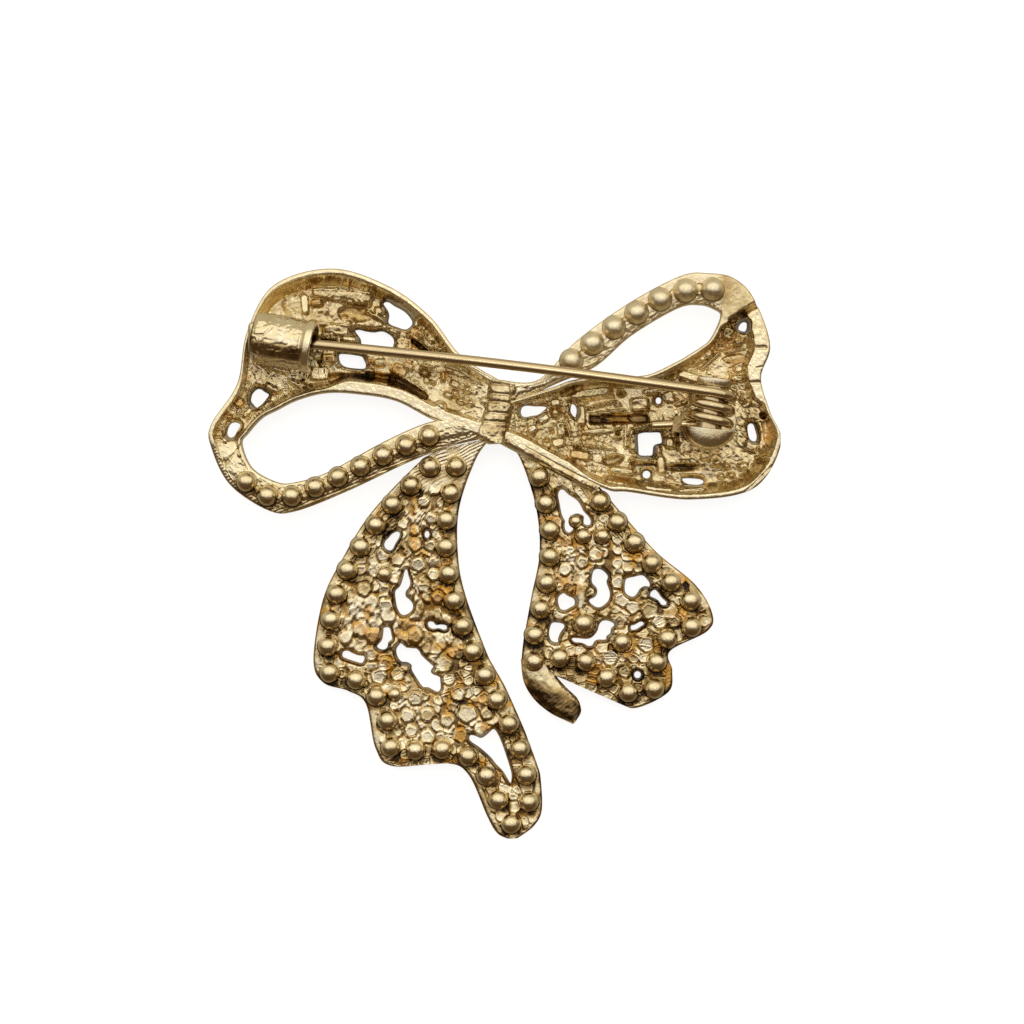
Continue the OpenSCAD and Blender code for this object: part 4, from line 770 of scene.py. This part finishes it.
def balls():
    """Every ball is a profile turned round: a sphere down to 84 degrees from its top, a short flare out to a
    small collar on the ribbon, and a stub down into it. Each is dented a little in its own way."""
    spots = row_spots()
    spots += [(x * BOW_W / 100, y * BOW_H / 100, on, share) for x, y, on, share in SINGLE_BALLS]
    spots = np.array(spots)
    core, top = 0.45 * BALL_D, BALL_LIFT + BALL_D / 2
    angle = np.radians(np.linspace(1, 84, 18))
    cap = np.stack([core * np.sin(angle), top - core + core * np.cos(angle)], axis=1)
    foot = np.array([
        [0.455 * BALL_D, 0.16], [0.465 * BALL_D, 0.06], [0.5 * BALL_D, 0.0], [0.5 * BALL_D, -0.15],
        [0.4 * BALL_D, -0.6 * TAIL_T],
    ])
    verts, faces = revolve(np.concatenate([cap, foot])[::-1], BALL_SIDES)
    k = np.arange(len(spots))[:, None]
    size = spots[:, 3][:, None]
    back = np.where(spots[:, 2] == 1, tail_z(spots[:, 1]), LOOP_Z)[:, None]
    dent = 1 + 0.012 * np.sin(3 * verts[None, :, 0] + k) * np.cos(2.5 * verts[None, :, 1] + 2 * k)
    x = spots[:, 0][:, None] + verts[None, :, 0] * size * dent
    y = spots[:, 1][:, None] + verts[None, :, 1] * size * dent
    z = back + verts[None, :, 2] * size * np.where(verts[None, :, 2] > 0, dent, 1)
    points = np.stack([x, y, z], axis=-1).reshape(-1, 3)
    every = [[i + n * len(verts) for i in f] for n in range(len(spots)) for f in faces]
    piece = mesh_piece("balls", points, every)
    # Painted shade: each ball darkens towards its low (-Y) side and towards its foot, over a little even
    # tarnish; the balls on the right loop's top ribbon get less of it.
    low_side = smooth(0.5, -0.8, verts[:, 1] / core)
    ball_tarnish_and_shade = 0.14 + (0.15 + 0.5 * low_side) * smooth(0.34, 0.05, verts[:, 2]) + 0.3 * low_side**3
    dull = top_ribbon(spots[:, 0], spots[:, 1]) * (spots[:, 2] == 0)
    write(piece, "tarnish_and_shade", (ball_tarnish_and_shade[None, :] * (1 - 0.6 * dull[:, None])).ravel())
    write(piece, "matte", np.repeat(dull, len(verts)))
    return piece


def band_piece(name, rows, steps, across, top, low, groove=None):
    """A solid band with a round back and a flat front: its back is top less 0.6 |2p-1|^3 for the share p
    across it, with cast grain and less the groove, and its front is low, raised by 0.5 |2p-1|^3 at its
    edges."""
    def back(x, y, share, wide, rest):
        """Height of the back."""
        z = top(y) - 0.6 * np.abs(2 * share - 1) ** 3
        z = z + 0.035 * grain(x, y, 0.3, 31) + 0.02 * grain(x, y, 0.15, 32)
        return z if groove is None else z - groove(x, y)

    def front(x, y, share, wide, rest):
        """Height of the front."""
        return low(y) + 0.5 * np.abs(2 * share - 1) ** 3

    return ribbon(name, rows, steps, across, back, front)


def rib_lines(x, y):
    """Depth of the dark grooves across the knot, a little tilted, of one down beside the roll at its
    right, and of its grain."""
    out = np.zeros_like(x)
    for line in KNOT_GROOVES:
        y0 = (CHART_Y - line) * CHART_STEP
        out += 0.22 * np.exp(-((y - y0 + 0.08 * x) / 0.09) ** 2)
    return out + 0.25 * np.exp(-((x - 1.75 + 0.1 * (y - 14)) / 0.12) ** 2) + 0.03 * grain(x, y, 0.2, 33)


def to_world(local, origin, turn):
    """Points turned about Z by turn degrees and moved to origin."""
    c, s = math.cos(math.radians(turn)), math.sin(math.radians(turn))
    m = np.array([[c, -s, 0], [s, c, 0], [0, 0, 1]])
    return local @ m.T + np.asarray(origin)


def tube(path, radius, sides):
    """A round wire swept along a path: rings square to the path's direction d, with side = d x up and
    over = side x d."""
    d = np.gradient(path, axis=0)
    d /= np.linalg.norm(d, axis=1)[:, None]
    side = np.stack([d[:, 1], -d[:, 0], 0 * d[:, 0]], axis=1)
    side /= np.maximum(np.linalg.norm(side, axis=1), 1e-6)[:, None]
    over = np.cross(side, d)
    t = np.linspace(0, 2 * np.pi, sides, endpoint=False)
    ring = (np.cos(t)[None, :, None] * side[:, None] + np.sin(t)[None, :, None] * over[:, None])
    verts = (path[:, None] + np.asarray(radius)[:, None, None] * ring).reshape(-1, 3)
    return verts, turned_out(verts, ring_faces(len(path), sides))


def pin():
    """The pin's wire: the point, the slightly bowed stem, and the turns of the coil round the post."""
    t = np.linspace(0, 1, 90)
    stem = np.stack([-STEM_L * (1 - t), COIL_HALF + 4 * STEM_BEND * t * (1 - t), COIL_R + 0 * t], axis=1)
    a = np.linspace(0, 2 * np.pi * COIL_TURNS, 150)[1:]
    down = COIL_HALF - COIL_PITCH * a / (2 * np.pi)
    path = np.concatenate([stem, np.stack([COIL_R * np.sin(a), down, COIL_R * np.cos(a)], axis=1)])
    run = np.concatenate([[0], np.cumsum(np.linalg.norm(np.diff(path, axis=0), axis=1))])
    radius = WIRE_R * np.clip(run / POINT_L, 0.08, 1) ** 0.8 * np.where(run > run[-1] - 0.12, 0.9, 1)
    verts, faces = tube(path, radius, WIRE_SIDES)
    return mesh_piece("pin_wire", to_world(verts, COIL_ORIGIN, STEM_TURN), faces, "pin", "pin")


def pin_foot():
    """The wire's fixed end: straight, with a slightly rounded cut end."""
    s = np.concatenate([[0, 0.05], np.linspace(0.12, LEG_L - 0.12, 24), [LEG_L - 0.05, LEG_L]])
    c, w = math.cos(math.radians(180 + LEG_TURN)), math.sin(math.radians(180 + LEG_TURN))
    path = np.stack([-0.8 + c * s, -COIL_HALF - 0.15 + w * s, -COIL_R + 0 * s], axis=1)
    radius = WIRE_R * np.minimum(1, 0.8 + 1.7 * np.minimum(s, LEG_L - s))
    verts, faces = tube(path, radius, WIRE_SIDES)
    return mesh_piece("wire_foot", to_world(verts, COIL_ORIGIN, STEM_TURN), faces, "brooch",
                      "pin_foot")


def catch():
    """The barrel catch: one closed profile turned round, out over the closed end, the barrel and the
    flared lip, and back down the bore, with cast crackle on the outside: grooves c (1 - |g|)^n along the
    zero lines of the grain g. The slot on its low side is cut afterwards."""
    r, end, mouth = CATCH_D / 2, -CATCH_L / 2, CATCH_L / 2
    bore, floor = CATCH_D / 2 - CATCH_WALL, -CATCH_L / 2 + CATCH_END_T
    corners = np.array([
        [0.01, end], [0.5 * r, end + 0.02], [0.72 * r, end + 0.1], [0.86 * r, end + 0.3],
        [0.93 * r, end + 0.6], [0.95 * r, end + 1.0], [0.955 * r, 0], [0.95 * r, mouth - 1.25],
        [0.9 * r, mouth - 1.05], [0.93 * r, mouth - 0.85], [0.988 * r, mouth - 0.6],
        [0.988 * r, mouth - 0.15], [0.975 * r, mouth - 0.04], [0.95 * r, mouth], [bore + 0.12, mouth],
        [bore + 0.03, mouth - 0.04], [bore, mouth - 0.15], [bore, floor + 0.3], [bore * 0.9, floor + 0.05],
        [0.01, floor],
    ])
    run = np.concatenate([[0], np.cumsum(np.linalg.norm(np.diff(corners, axis=0), axis=1))])
    fine = np.arange(0, run[-1], 0.09)
    want = np.sort(np.concatenate([run, fine[np.abs(fine[:, None] - run).min(axis=1) > 0.02]]))
    profile = np.stack([np.interp(want, run, corners[:, i]) for i in (0, 1)], axis=1)
    verts, faces = revolve(profile, CATCH_SIDES)
    t, h = r * np.arctan2(verts[:, 1], verts[:, 0]), verts[:, 2]
    outer = (np.hypot(verts[:, 0], verts[:, 1]) > bore + 0.2) & (h < mouth - 0.2)
    crackle = (0.09 * (1 - np.abs(grain(t, h, 0.62, 41))) ** 5
               + 0.05 * (1 - np.abs(grain(t, h, 0.27, 42))) ** 3 + 0.02 * (1 + grain(t, h, 1.3, 43)))
    verts[:, :2] *= (1 - np.where(outer, crackle * smooth(mouth - 0.7, mouth - 1.2, h), 0) / r)[:, None]
    tilt = math.radians(90 - CATCH_TILT)
    m = np.array([[math.cos(tilt), 0, math.sin(tilt)], [0, 1, 0], [-math.sin(tilt), 0, math.cos(tilt)]])
    origin = (CATCH_AT[0], CATCH_AT[1], STEM_Z)
    placed = to_world(verts @ m.T, origin, CATCH_TURN)
    placed[:, 2] -= np.where(outer & (placed[:, 2] > STEM_Z), creases(placed[:, 0], placed[:, 1]), 0)
    piece = mesh_piece("catch_barrel", placed, faces)
    x0, x1 = CATCH_D * 0.12, CATCH_D * 0.12 + CATCH_SLOT
    slot, slot_f = block((x0, -CATCH_D, floor), (x1, 0, floor + CATCH_L))
    cutter = loose_mesh("slot_cutter", to_world(slot @ m.T, origin, CATCH_TURN), slot_f)
    cut(piece, cutter)
    bpy.data.objects.remove(cutter)
    return piece


def block(lo, hi):
    """A box with eight corners in mm, and its faces."""
    (x0, y0, z0), (x1, y1, z1) = lo, hi
    v = [[x, y, z] for z in (z0, z1) for x, y in ((x0, y0), (x1, y0), (x1, y1), (x0, y1))]
    return np.array(v, float), ring_faces(2, 4)


def joined(parts):
    """Several sets of points and faces as one."""
    verts, faces, n = [], [], 0
    for v, f in parts:
        verts.append(v)
        faces += [[i + n for i in face] for face in f]
        n += len(v)
    return np.concatenate(verts), faces


def hinge_boss():
    """The seat and dome that hold the post, the ear at its far end, and the lug round the wire's fixed
    end. The dome is r cos(a)^0.6 wide at 2.2 sin(a)^0.42 mm of height, and cut flat beside the coil."""
    r, floor = BOSS_D / 2, WALL * 0.6
    seat_h = COIL_Z - COIL_R - WIRE_R - COIL_GAP
    seat, seat_f = revolve(np.array([
        [0.01, floor], [r, floor], [r, seat_h - 0.1], [r - 0.1, seat_h], [0.01, seat_h],
    ]), 64)
    a = np.linspace(0, 1, 18) * np.pi / 2
    dome = np.stack([r * np.cos(a) ** 0.6, COIL_Z - 0.6 + 2.2 * np.sin(a) ** 0.42], axis=1)
    dome = np.concatenate([[[0.01, floor], [r, floor]], dome[:-1], [[0.01, COIL_Z + 1.6]]])
    t = np.linspace(0, 2 * np.pi, 72, endpoint=False)
    wide, z = dome[:, 0, None], dome[:, 1, None]
    x, y = wide * np.cos(t), wide * np.sin(t)
    flat = np.sqrt(np.maximum(wide**2 - BOSS_IN**2, 1e-6))
    x = np.where(y > -BOSS_IN, np.sign(np.cos(t)) * np.minimum(np.abs(x), flat), x)
    skin = np.stack([x, np.minimum(y, -BOSS_IN), z + 0 * t], axis=-1).reshape(-1, 3)
    at = np.array([0, BOSS_IN - FACE_AT, -COIL_Z])
    ear, ear_f = revolve(np.array([
        [0.01, 0], [POST_R + 0.3, 0], [POST_R + 0.35, 0.06], [POST_R + 0.35, EAR_T - 0.12],
        [POST_R + 0.2, EAR_T], [0.01, EAR_T],
    ]), 40)
    ear = np.stack([ear[:, 0], FACE_AT + ear[:, 2], -ear[:, 1]], axis=1)
    leg, leg_f = block((-1.65, FACE_AT + 0.04, floor - COIL_Z), (1.65, FACE_AT + EAR_T - 0.04, -0.3))
    leg[4:, 0] *= 0.92
    lug, lug_f = block((-COIL_D / 2 - COIL_GAP - LUG_T, -FACE_AT - 0.6, floor - COIL_Z),
                       (-COIL_D / 2 - COIL_GAP, -FACE_AT + 0.9, -COIL_R + WIRE_R + 0.33))
    verts, faces = joined([(seat + at, seat_f), (skin + at, ring_faces(len(dome), len(t))), (ear, ear_f),
                           (leg, leg_f), (lug, lug_f)])
    piece = mesh_piece("hinge_boss", to_world(verts, COIL_ORIGIN, STEM_TURN), faces)
    bevel = piece.modifiers.new("soft_edges", "BEVEL")
    bevel.width, bevel.segments = 0.12 * MM, 2
    bevel.limit_method, bevel.angle_limit = "ANGLE", math.radians(50)
    return piece


def catch_foot():
    """The foot under the catch: rounded blocks from the loop's floor and from its rim up to the barrel."""
    x, y = CATCH_AT
    top = STEM_Z - CATCH_D * 0.2 - 0.1
    on_floor = block((x - 2.9, y + 0.1, WALL * 0.9), (x + 2.4, y + 2.2, top))
    on_rim = block((x - 3.4, y - 1.2, LOOP_Z - 0.8), (x - 1.2, y + 2.0, top))
    verts, faces = joined([on_floor, on_rim])
    piece = mesh_piece("catch_foot", verts, faces)
    bevel = piece.modifiers.new("soft_edges", "BEVEL")
    bevel.width, bevel.segments = 0.5 * MM, 3
    return piece


def linear(hex_text):
    """An sRGB hex colour as linear red, green, blue and 1."""
    c = np.array([int(hex_text[i:i + 2], 16) / 255 for i in (0, 2, 4)])
    return (*np.where(c <= 0.04045, c / 12.92, ((c + 0.055) / 1.055) ** 2.4), 1.0)


def node(tree, kind, settings=None, links=None):
    """Adds a node: settings by property, socket name or socket number, and links as socket to source."""
    n = tree.nodes.new(kind)
    for key, value in (settings or {}).items():
        if isinstance(key, int) or key in n.inputs:
            n.inputs[key].default_value = value
        else:
            setattr(n, key, value)
    for key, source in (links or {}).items():
        tree.links.new(source, n.inputs[key])
    return n


def material(name):
    """An empty material with nodes, and its node tree."""
    m = bpy.data.materials.new(name)
    m.use_nodes = True
    m.node_tree.nodes.clear()
    return m, m.node_tree


def gilt_casting():
    """Gilt zinc casting, as cast and tumbled: pale gold on the high parts with a pinkish or greenish cast
    here and there, olive to near-black tarnish together with painted shade and painted reflections, most of
    it in the recesses, amber lacquer stains, fine cast grain, and a roughness that changes over a few tenths
    of a millimetre."""
    m, t = material("gilt_zinc_casting")
    where = node(t, "ShaderNodeTexCoord").outputs["Object"]
    tarnish_and_shade, amber, matte = [node(t, "ShaderNodeAttribute", {"attribute_name": name}).outputs["Fac"]
                             for name in ("tarnish_and_shade", "amber", "matte")]
    blotch, fine, cast = [
        node(t, "ShaderNodeTexNoise", {"Scale": scale, "Detail": detail, "Roughness": share},
             {"Vector": where}).outputs["Fac"]
        for scale, detail, share in ((900.0, 4.0, 0.65), (4600.0, 3.0, 0.6), (2600.0, 2.0, 0.6))]
    dark = node(t, "ShaderNodeMath", {"operation": "MULTIPLY_ADD", 1: 0.4}, {0: blotch, 2: tarnish_and_shade})
    ramp = node(t, "ShaderNodeValToRGB", links={"Fac": dark.outputs[0]})
    stops = ramp.color_ramp.elements
    stops[0].position, stops[0].color = 0.2, linear("F3E8CA")
    stops[1].position, stops[1].color = 1.0, linear("3A2F24")
    for at, tone in ((0.4, "E4D4A9"), (0.6, "BFA876"), (0.82, "7F6843")):
        stops.new(at).color = linear(tone)
    stain = node(t, "ShaderNodeMix", {"data_type": "RGBA", 7: linear("C4933A")},
                 {0: amber, 6: ramp.outputs["Color"]})
    turn = node(t, "ShaderNodeMapRange", {"From Min": 0.3, "From Max": 0.7, "To Min": 0.48, "To Max": 0.514},
                {"Value": cast})
    hue = node(t, "ShaderNodeHueSaturation",
               links={"Hue": turn.outputs["Result"], "Color": stain.outputs[2]})
    rough = node(t, "ShaderNodeMapRange", {"From Min": 0.3, "From Max": 0.7, "To Min": 0.12, "To Max": 0.34},
                 {"Value": fine})
    dull = node(t, "ShaderNodeMath", {"operation": "MULTIPLY_ADD", 1: 0.13},
                {0: matte, 2: rough.outputs["Result"]})
    bump = node(t, "ShaderNodeBump", {"Strength": 0.45, "Distance": 0.00005}, {"Height": fine})
    shade = node(t, "ShaderNodeBsdfPrincipled", {"Metallic": 1.0},
                 {"Base Color": hue.outputs["Color"], "Roughness": dull.outputs[0],
                  "Normal": bump.outputs["Normal"]})
    node(t, "ShaderNodeOutputMaterial", links={"Surface": shade.outputs["BSDF"]})
    return m


def gilt_wire():
    """Gilt brass wire, drawn and polished: a paler, even gold with faint drawing lines along the stem."""
    along_stem, stretch = (0, 0, math.radians(6.7)), (120, 6000, 6000)
    m, t = material("gilt_drawn_wire")
    where = node(t, "ShaderNodeTexCoord").outputs["Object"]
    mapped = node(t, "ShaderNodeMapping", {"Rotation": along_stem, "Scale": stretch}, {"Vector": where})
    lines = node(t, "ShaderNodeTexNoise", {"Scale": 1.0, "Detail": 2.0},
                 {"Vector": mapped.outputs["Vector"]}).outputs["Fac"]
    ramp = node(t, "ShaderNodeValToRGB", links={"Fac": lines})
    ramp.color_ramp.elements[0].color = linear("C9B28A")
    ramp.color_ramp.elements[1].color = linear("DDCBA4")
    bump = node(t, "ShaderNodeBump", {"Strength": 0.12, "Distance": 0.00002}, {"Height": lines})
    shade = node(t, "ShaderNodeBsdfPrincipled", {"Metallic": 1.0, "Roughness": 0.16},
                 {"Base Color": ramp.outputs["Color"], "Normal": bump.outputs["Normal"]})
    node(t, "ShaderNodeOutputMaterial", links={"Surface": shade.outputs["BSDF"]})
    return m


def set_look(piece, tarnish_and_shade, amber):
    """Writes how tarnished or darkened by painted shade and how amber each point is, 0 to 1, from two
    functions of its place in mm.
    """
    co = np.empty(len(piece.data.vertices) * 3)
    piece.data.vertices.foreach_get("co", co)
    x, y, z = co.reshape(-1, 3).T / MM
    write(piece, "tarnish_and_shade", tarnish_and_shade(x, y, z))
    write(piece, "amber", amber(x, y, z))
    if piece.name == "right_loop":
        write(piece, "matte", top_ribbon(x, y) * smooth(LOOP_Z - 0.8, LOOP_Z - 0.5, z))


def ball_shade(x, y):
    """Painted shade in the corner round the foot of each ball of a row, most of it on the side away from the
    loops.
    """
    out = np.zeros_like(x)
    for sx, sy, _, share in row_spots():
        near = np.abs(x - sx) + np.abs(y - sy) < 3.2
        d = np.hypot(x[near] - sx, y[near] - sy)
        side = np.clip(0.3 - 0.75 * (y[near] - sy) / np.maximum(d, 0.3), 0.05, 1)
        out[near] = np.maximum(out[near], side * smooth(1.75, 1.1, d / share))
    return out


def channels(x, y, z):
    """1 in the charted grooves and hollows of the loops, 0 elsewhere."""
    return smooth(-0.15, -0.6, charted(x, y)[1]) * smooth(LOOP_Z - 0.2, LOOP_Z - 0.7, z)


def loop_tarnish_and_shade(x, y, z):
    """Loops, tarnish and painted shade together: olive on the floor, near black in the deepest places and the
    charted channels, darker down the walls, brown in the gaps' walls, painted shade round the balls' feet,
    and a painted darker reflection at the right loop's fold.
    """
    # Tarnish and painted shade: darker with depth, down the walls, in the channels and by the gaps.
    depth = 0.2 * smooth(LOOP_Z - 0.8, WALL + 0.4, z) + 0.4 * smooth(WALL + 0.05, WALL - 0.45, z)
    gaps = np.exp(-(gap_distance(x, y) / 0.2) ** 2)
    patch = 0.75 + 0.5 * grain(x, y, 2.2, 51)
    side = 0.2 * smooth(LOOP_Z - 0.3, LOOP_Z - 0.8, z) * smooth(WALL + 0.8, WALL + 1.4, z)
    side = side + np.where(x < 0, 0.25, 0.2) * channels(x, y, z)
    # Painted reflection: a darker tone at the right loop's fold.
    fold = smooth(21.0, 22.0, x) * smooth(20.0, 21.5, y)
    # Painted shade round the feet of the balls, less on the right loop's top ribbon.
    balls_painted_shade = ball_shade(x, y) * (0.45 - 0.4 * top_ribbon(x, y))
    return (0.11 + depth * patch * (1 - 0.3 * stains(x, y)) + side + 0.2 * gaps + balls_painted_shade
            + 0.2 * fold * (1 + grain(x, y, 1.8, 59)))


def loop_amber(x, y, z):
    """Amber stains as charted, and a few small ones anywhere in the hollow."""
    depth = smooth(LOOP_Z - 0.6, LOOP_Z - 1.6, z)
    share = np.where(x < 0, 0.6, 0.32)
    share = share * (1 - 0.8 * channels(x, y, z))
    return np.maximum(share * stains(x, y) * smooth(LOOP_Z + 0.1, LOOP_Z - 0.3, z),
                      0.35 * depth * smooth(0.4, 0.75, grain(x, y, 1.4, 54)))


def tail_tarnish_and_shade(x, y, z):
    """Tails: ochre brown in the grooves between the cells, darker round the gaps, painted shade below the
    balls, and a grey brown flat above the cells of the right tail."""
    depth = smooth(0.01, -0.08, z - tail_z(y)) * (0.4 + 0.6 * smooth(7.5, 6, y))
    gaps = np.exp(-(gap_distance(x, y) / 0.22) ** 2)
    patch = 0.75 + 0.4 * grain(x, y, 2.2, 52)
    flat = smooth(5.6, 6.6, y) * (x > 0) * (0.5 + 0.5 * grain(x, y, 0.3, 57))
    cell = 0.3 * smooth(0.15, 0.5, grain(x, y, 1.1, 58)) * smooth(7, 5.5, y)
    # ball_shade adds painted shade below the balls.
    return 0.05 + 0.55 * depth * patch + 0.15 * gaps + 0.5 * ball_shade(x, y) + 0.35 * flat + cell


def tail_amber(x, y, z):
    """Amber stains, each about a cell or two wide, and a weak tint in the grooves."""
    groove = smooth(0.0, -0.12, z - tail_z(y)) * smooth(8, 6, y) * smooth(-0.4, 0.4, grain(x, y, 1.7, 60))
    return np.maximum(0.75 * smooth(0.42, 0.62, grain(x, y, 1.1, 55)) * smooth(7, 5.5, y), 0.45 * groove)


def catch_tarnish_and_shade(x, y, z):
    """Barrel: painted shade, brown, in its mouth, patchy tarnish outside, and a painted near-black reflection
    band along its low side.
    """
    c, s = math.cos(math.radians(CATCH_TURN)), math.sin(math.radians(CATCH_TURN))
    u, v = (x - CATCH_AT[0]) * c + (y - CATCH_AT[1]) * s, (y - CATCH_AT[1]) * c - (x - CATCH_AT[0]) * s
    off = np.hypot(v, z - STEM_Z - u * math.tan(math.radians(CATCH_TILT)))
    # Painted reflection: a near-black band along the barrel's low side, short of the mouth.
    band = smooth(-0.25, -0.5, v) * smooth(-1.75, -1.5, v) * smooth(CATCH_L / 2 - 0.7, CATCH_L / 2 - 1, u)
    # Painted shade inside the bore and closed end, where a point lies well inside the barrel's outer radius.
    return (0.12 + 0.1 * grain(x, y, 0.9, 56) + 0.6 * smooth(CATCH_D / 2 - 0.35, CATCH_D / 2 - 0.6, off)
            + 0.42 * band)


def plain_tarnish(x, y, z):
    """Little tarnish, in soft patches."""
    return 0.2 + 0.14 * grain(x, y, 1.2, 53)


def tip_tarnish(x, y, z):
    """Rolled tip: pale where it leaves the tail, mauve-brown to near black down to its end, and pale on
    its last bit and along its right edge."""
    dark = smooth(-11.6, -13.2, y + 0.25 * (x - 4)) * smooth(-16.1, -15.6, y)
    dark = dark * smooth(-0.08, -0.34, TIP_EDGE[2] * (x - TIP_EDGE[0]) + TIP_EDGE[3] * (y - TIP_EDGE[1]))
    return 0.2 + 0.5 * dark * (1 + 0.2 * filed(x, y, 35, 0.32)) + 0.1 * grain(x, y, 0.6, 53)


def boss_tarnish(x, y, z):
    """Hinge: pale on its dome and brown on the lug at the wire's fixed end."""
    return plain_tarnish(x, y, z) - 0.08 + 0.4 * smooth(COIL_AT[0] - 1.9, COIL_AT[0] - 2.2, x)


def no_amber(x, y, z):
    """No amber anywhere."""
    return 0 * x


# The brooch.
# Ribbons: name, rows, points along and across at full fineness, back, front, tarnish and painted shade,
# amber.
RIBBONS = [
    ("left_loop", LEFT_LOOP, 740, 112, loop_back, loop_front, loop_tarnish_and_shade, loop_amber),
    ("right_loop", RIGHT_LOOP, 740, 112, loop_back, loop_front, loop_tarnish_and_shade, loop_amber),
    ("left_tail", LEFT_TAIL, 430, 180, tail_back, tail_front, tail_tarnish_and_shade, tail_amber),
    ("right_tail", RIGHT_TAIL, 370, 190, tail_back, tail_front, tail_tarnish_and_shade, tail_amber),
]
ribbons = [ribbon(name, rows, int(steps * FINE), int(across * FINE), back, front)
           for name, rows, steps, across, back, front, *_ in RIBBONS]
cutter = gap_cutter()
for piece, (*_, tarnish_and_shade, amber) in zip(ribbons, RIBBONS):
    cut(piece, cutter)
    set_look(piece, tarnish_and_shade, amber)
bpy.data.objects.remove(cutter)

tip = band_piece("rolled_tip", ROLLED_TIP, 60, 40, lambda y: tail_z(y) + TIP_RISE,
                 lambda y: tail_z(y) - TAIL_T)
knot = band_piece("knot", KNOT, 70, 50, lambda y: KNOT_Z + 0 * y, lambda y: KNOT_LOW + 0 * y, rib_lines)
knot_band = band_piece("knot_band", KNOT_BAND, 110, 30, lambda y: TAIL_ROOT_Z + BAND_RISE + 0 * y,
                       lambda y: TAIL_ROOT_Z - TAIL_T + 0 * y)
ball_piece = balls()
barrel, boss, foot, wire, leg = catch(), hinge_boss(), catch_foot(), pin(), pin_foot()
set_look(barrel, catch_tarnish_and_shade, no_amber)
set_look(tip, tip_tarnish, no_amber)
set_look(knot, lambda x, y, z: 0.12 + plain_tarnish(x, y, z), no_amber)
for piece in (knot_band, foot):
    set_look(piece, plain_tarnish, no_amber)
set_look(boss, boss_tarnish, no_amber)

casting_look, wire_look = gilt_casting(), gilt_wire()
for piece in (*ribbons, tip, knot, knot_band, ball_piece, barrel, boss, foot):
    piece.data.materials.clear()
    piece.data.materials.append(casting_look)
for piece in (wire, leg):
    piece.data.materials.append(wire_look)
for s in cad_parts["hinge_post"].material_slots:
    s.material = wire_look


# The table, the lights and the camera.
def table(name, depth):
    """A wide square plane at a depth in mm under the brooch, left out of the model."""
    far = 3.0
    corners = [(-far, -far, 0), (far, -far, 0), (far, far, 0), (-far, far, 0)]
    mesh = bpy.data.meshes.new(name)
    mesh.from_pydata(corners, [], [(0, 1, 2, 3)])
    plane = bpy.data.objects.new(name, mesh)
    plane.location.z = -depth * MM
    bpy.context.collection.objects.link(plane)
    return plane


# The camera sees a white table. The metal mirrors the room in its place, since the photograph's background
# was whitened and its metal shows no white from below.
white = table("white_table", 0.02)
white.visible_glossy = False
look, t = material("white_acrylic_table")
shade = node(t, "ShaderNodeBsdfPrincipled", {"Base Color": linear("A0A09E"), "Roughness": 0.6,
                                             "Emission Color": (1, 1, 1, 1), "Emission Strength": 0.86})
node(t, "ShaderNodeOutputMaterial", links={"Surface": shade.outputs["BSDF"]})
white.data.materials.append(look)


def softbox(name, at, size, power):
    """A square or oblong soft light that faces the brooch."""
    light = bpy.data.lights.new(name, "AREA")
    light.shape, light.size, light.size_y, light.energy = "RECTANGLE", size[0], size[1], power
    lamp = bpy.data.objects.new(name, light)
    bpy.context.collection.objects.link(lamp)
    lamp.location = at
    lamp.rotation_euler = (-Vector(at)).to_track_quat("-Z", "Y").to_euler()
    return lamp


# A wide soft panel from just past the zenith down to the far side, and a small lamp for the sparkle.
softbox("panel", (0, 0.254, 0.544), (2.1, 1.04), 4.8)
softbox("sparkle", (0.03, 0.14, 0.6), (0.06, 0.06), 0.06)

# The room: dark on the near side, pale behind the panel, and a little paler below than above.
world = bpy.data.worlds.new("studio")
world.use_nodes = True
room = world.node_tree
room.nodes.clear()
way = node(room, "ShaderNodeSeparateXYZ", links={0: node(room, "ShaderNodeTexCoord").outputs["Generated"]})
far = node(room, "ShaderNodeMapRange", {"From Min": -0.1, "From Max": 0.35}, {"Value": way.outputs["Y"]})
low = node(room, "ShaderNodeMapRange", {"From Min": 0.0, "From Max": -0.6, "To Max": 0.55},
           {"Value": way.outputs["Z"]})
pale = node(room, "ShaderNodeMath", {"operation": "MAXIMUM"},
            {0: far.outputs["Result"], 1: low.outputs["Result"]})
tones = node(room, "ShaderNodeValToRGB", links={"Fac": pale.outputs[0]})
tones.color_ramp.elements[0].color = linear("62503C")
tones.color_ramp.elements[1].color = linear("C5BCA6")
light = node(room, "ShaderNodeBackground", {"Strength": 1.0}, {"Color": tones.outputs["Color"]})
node(room, "ShaderNodeOutputWorld", links={"Surface": light.outputs["Background"]})
bpy.context.scene.world = world
bpy.context.scene.view_settings.view_transform = "Standard"

# The camera is high over the middle of the photograph, and sees a chart step as one pixel at the height
# SCALE_AT, which is near the loops' rims. Heights and the sensor's width are in mm, the picture's in pixels.
CAMERA_Z, SCALE_AT, SENSOR_W, PICTURE_W = 330.0, 3.0, 36, 1024
camera = bpy.data.objects.new("camera", bpy.data.cameras.new("camera"))
bpy.context.collection.objects.link(camera)
middle = ((PICTURE_W / 2 - CHART_X) * CHART_STEP, (CHART_Y - PICTURE_W / 2) * CHART_STEP)
camera.location = (middle[0] * MM, middle[1] * MM, CAMERA_Z * MM)
camera.data.sensor_width = SENSOR_W
camera.data.lens = SENSOR_W * (CAMERA_Z - SCALE_AT) / (PICTURE_W * CHART_STEP)
camera.data.clip_start, camera.data.clip_end = 0.01, 20
bpy.context.scene.camera = camera
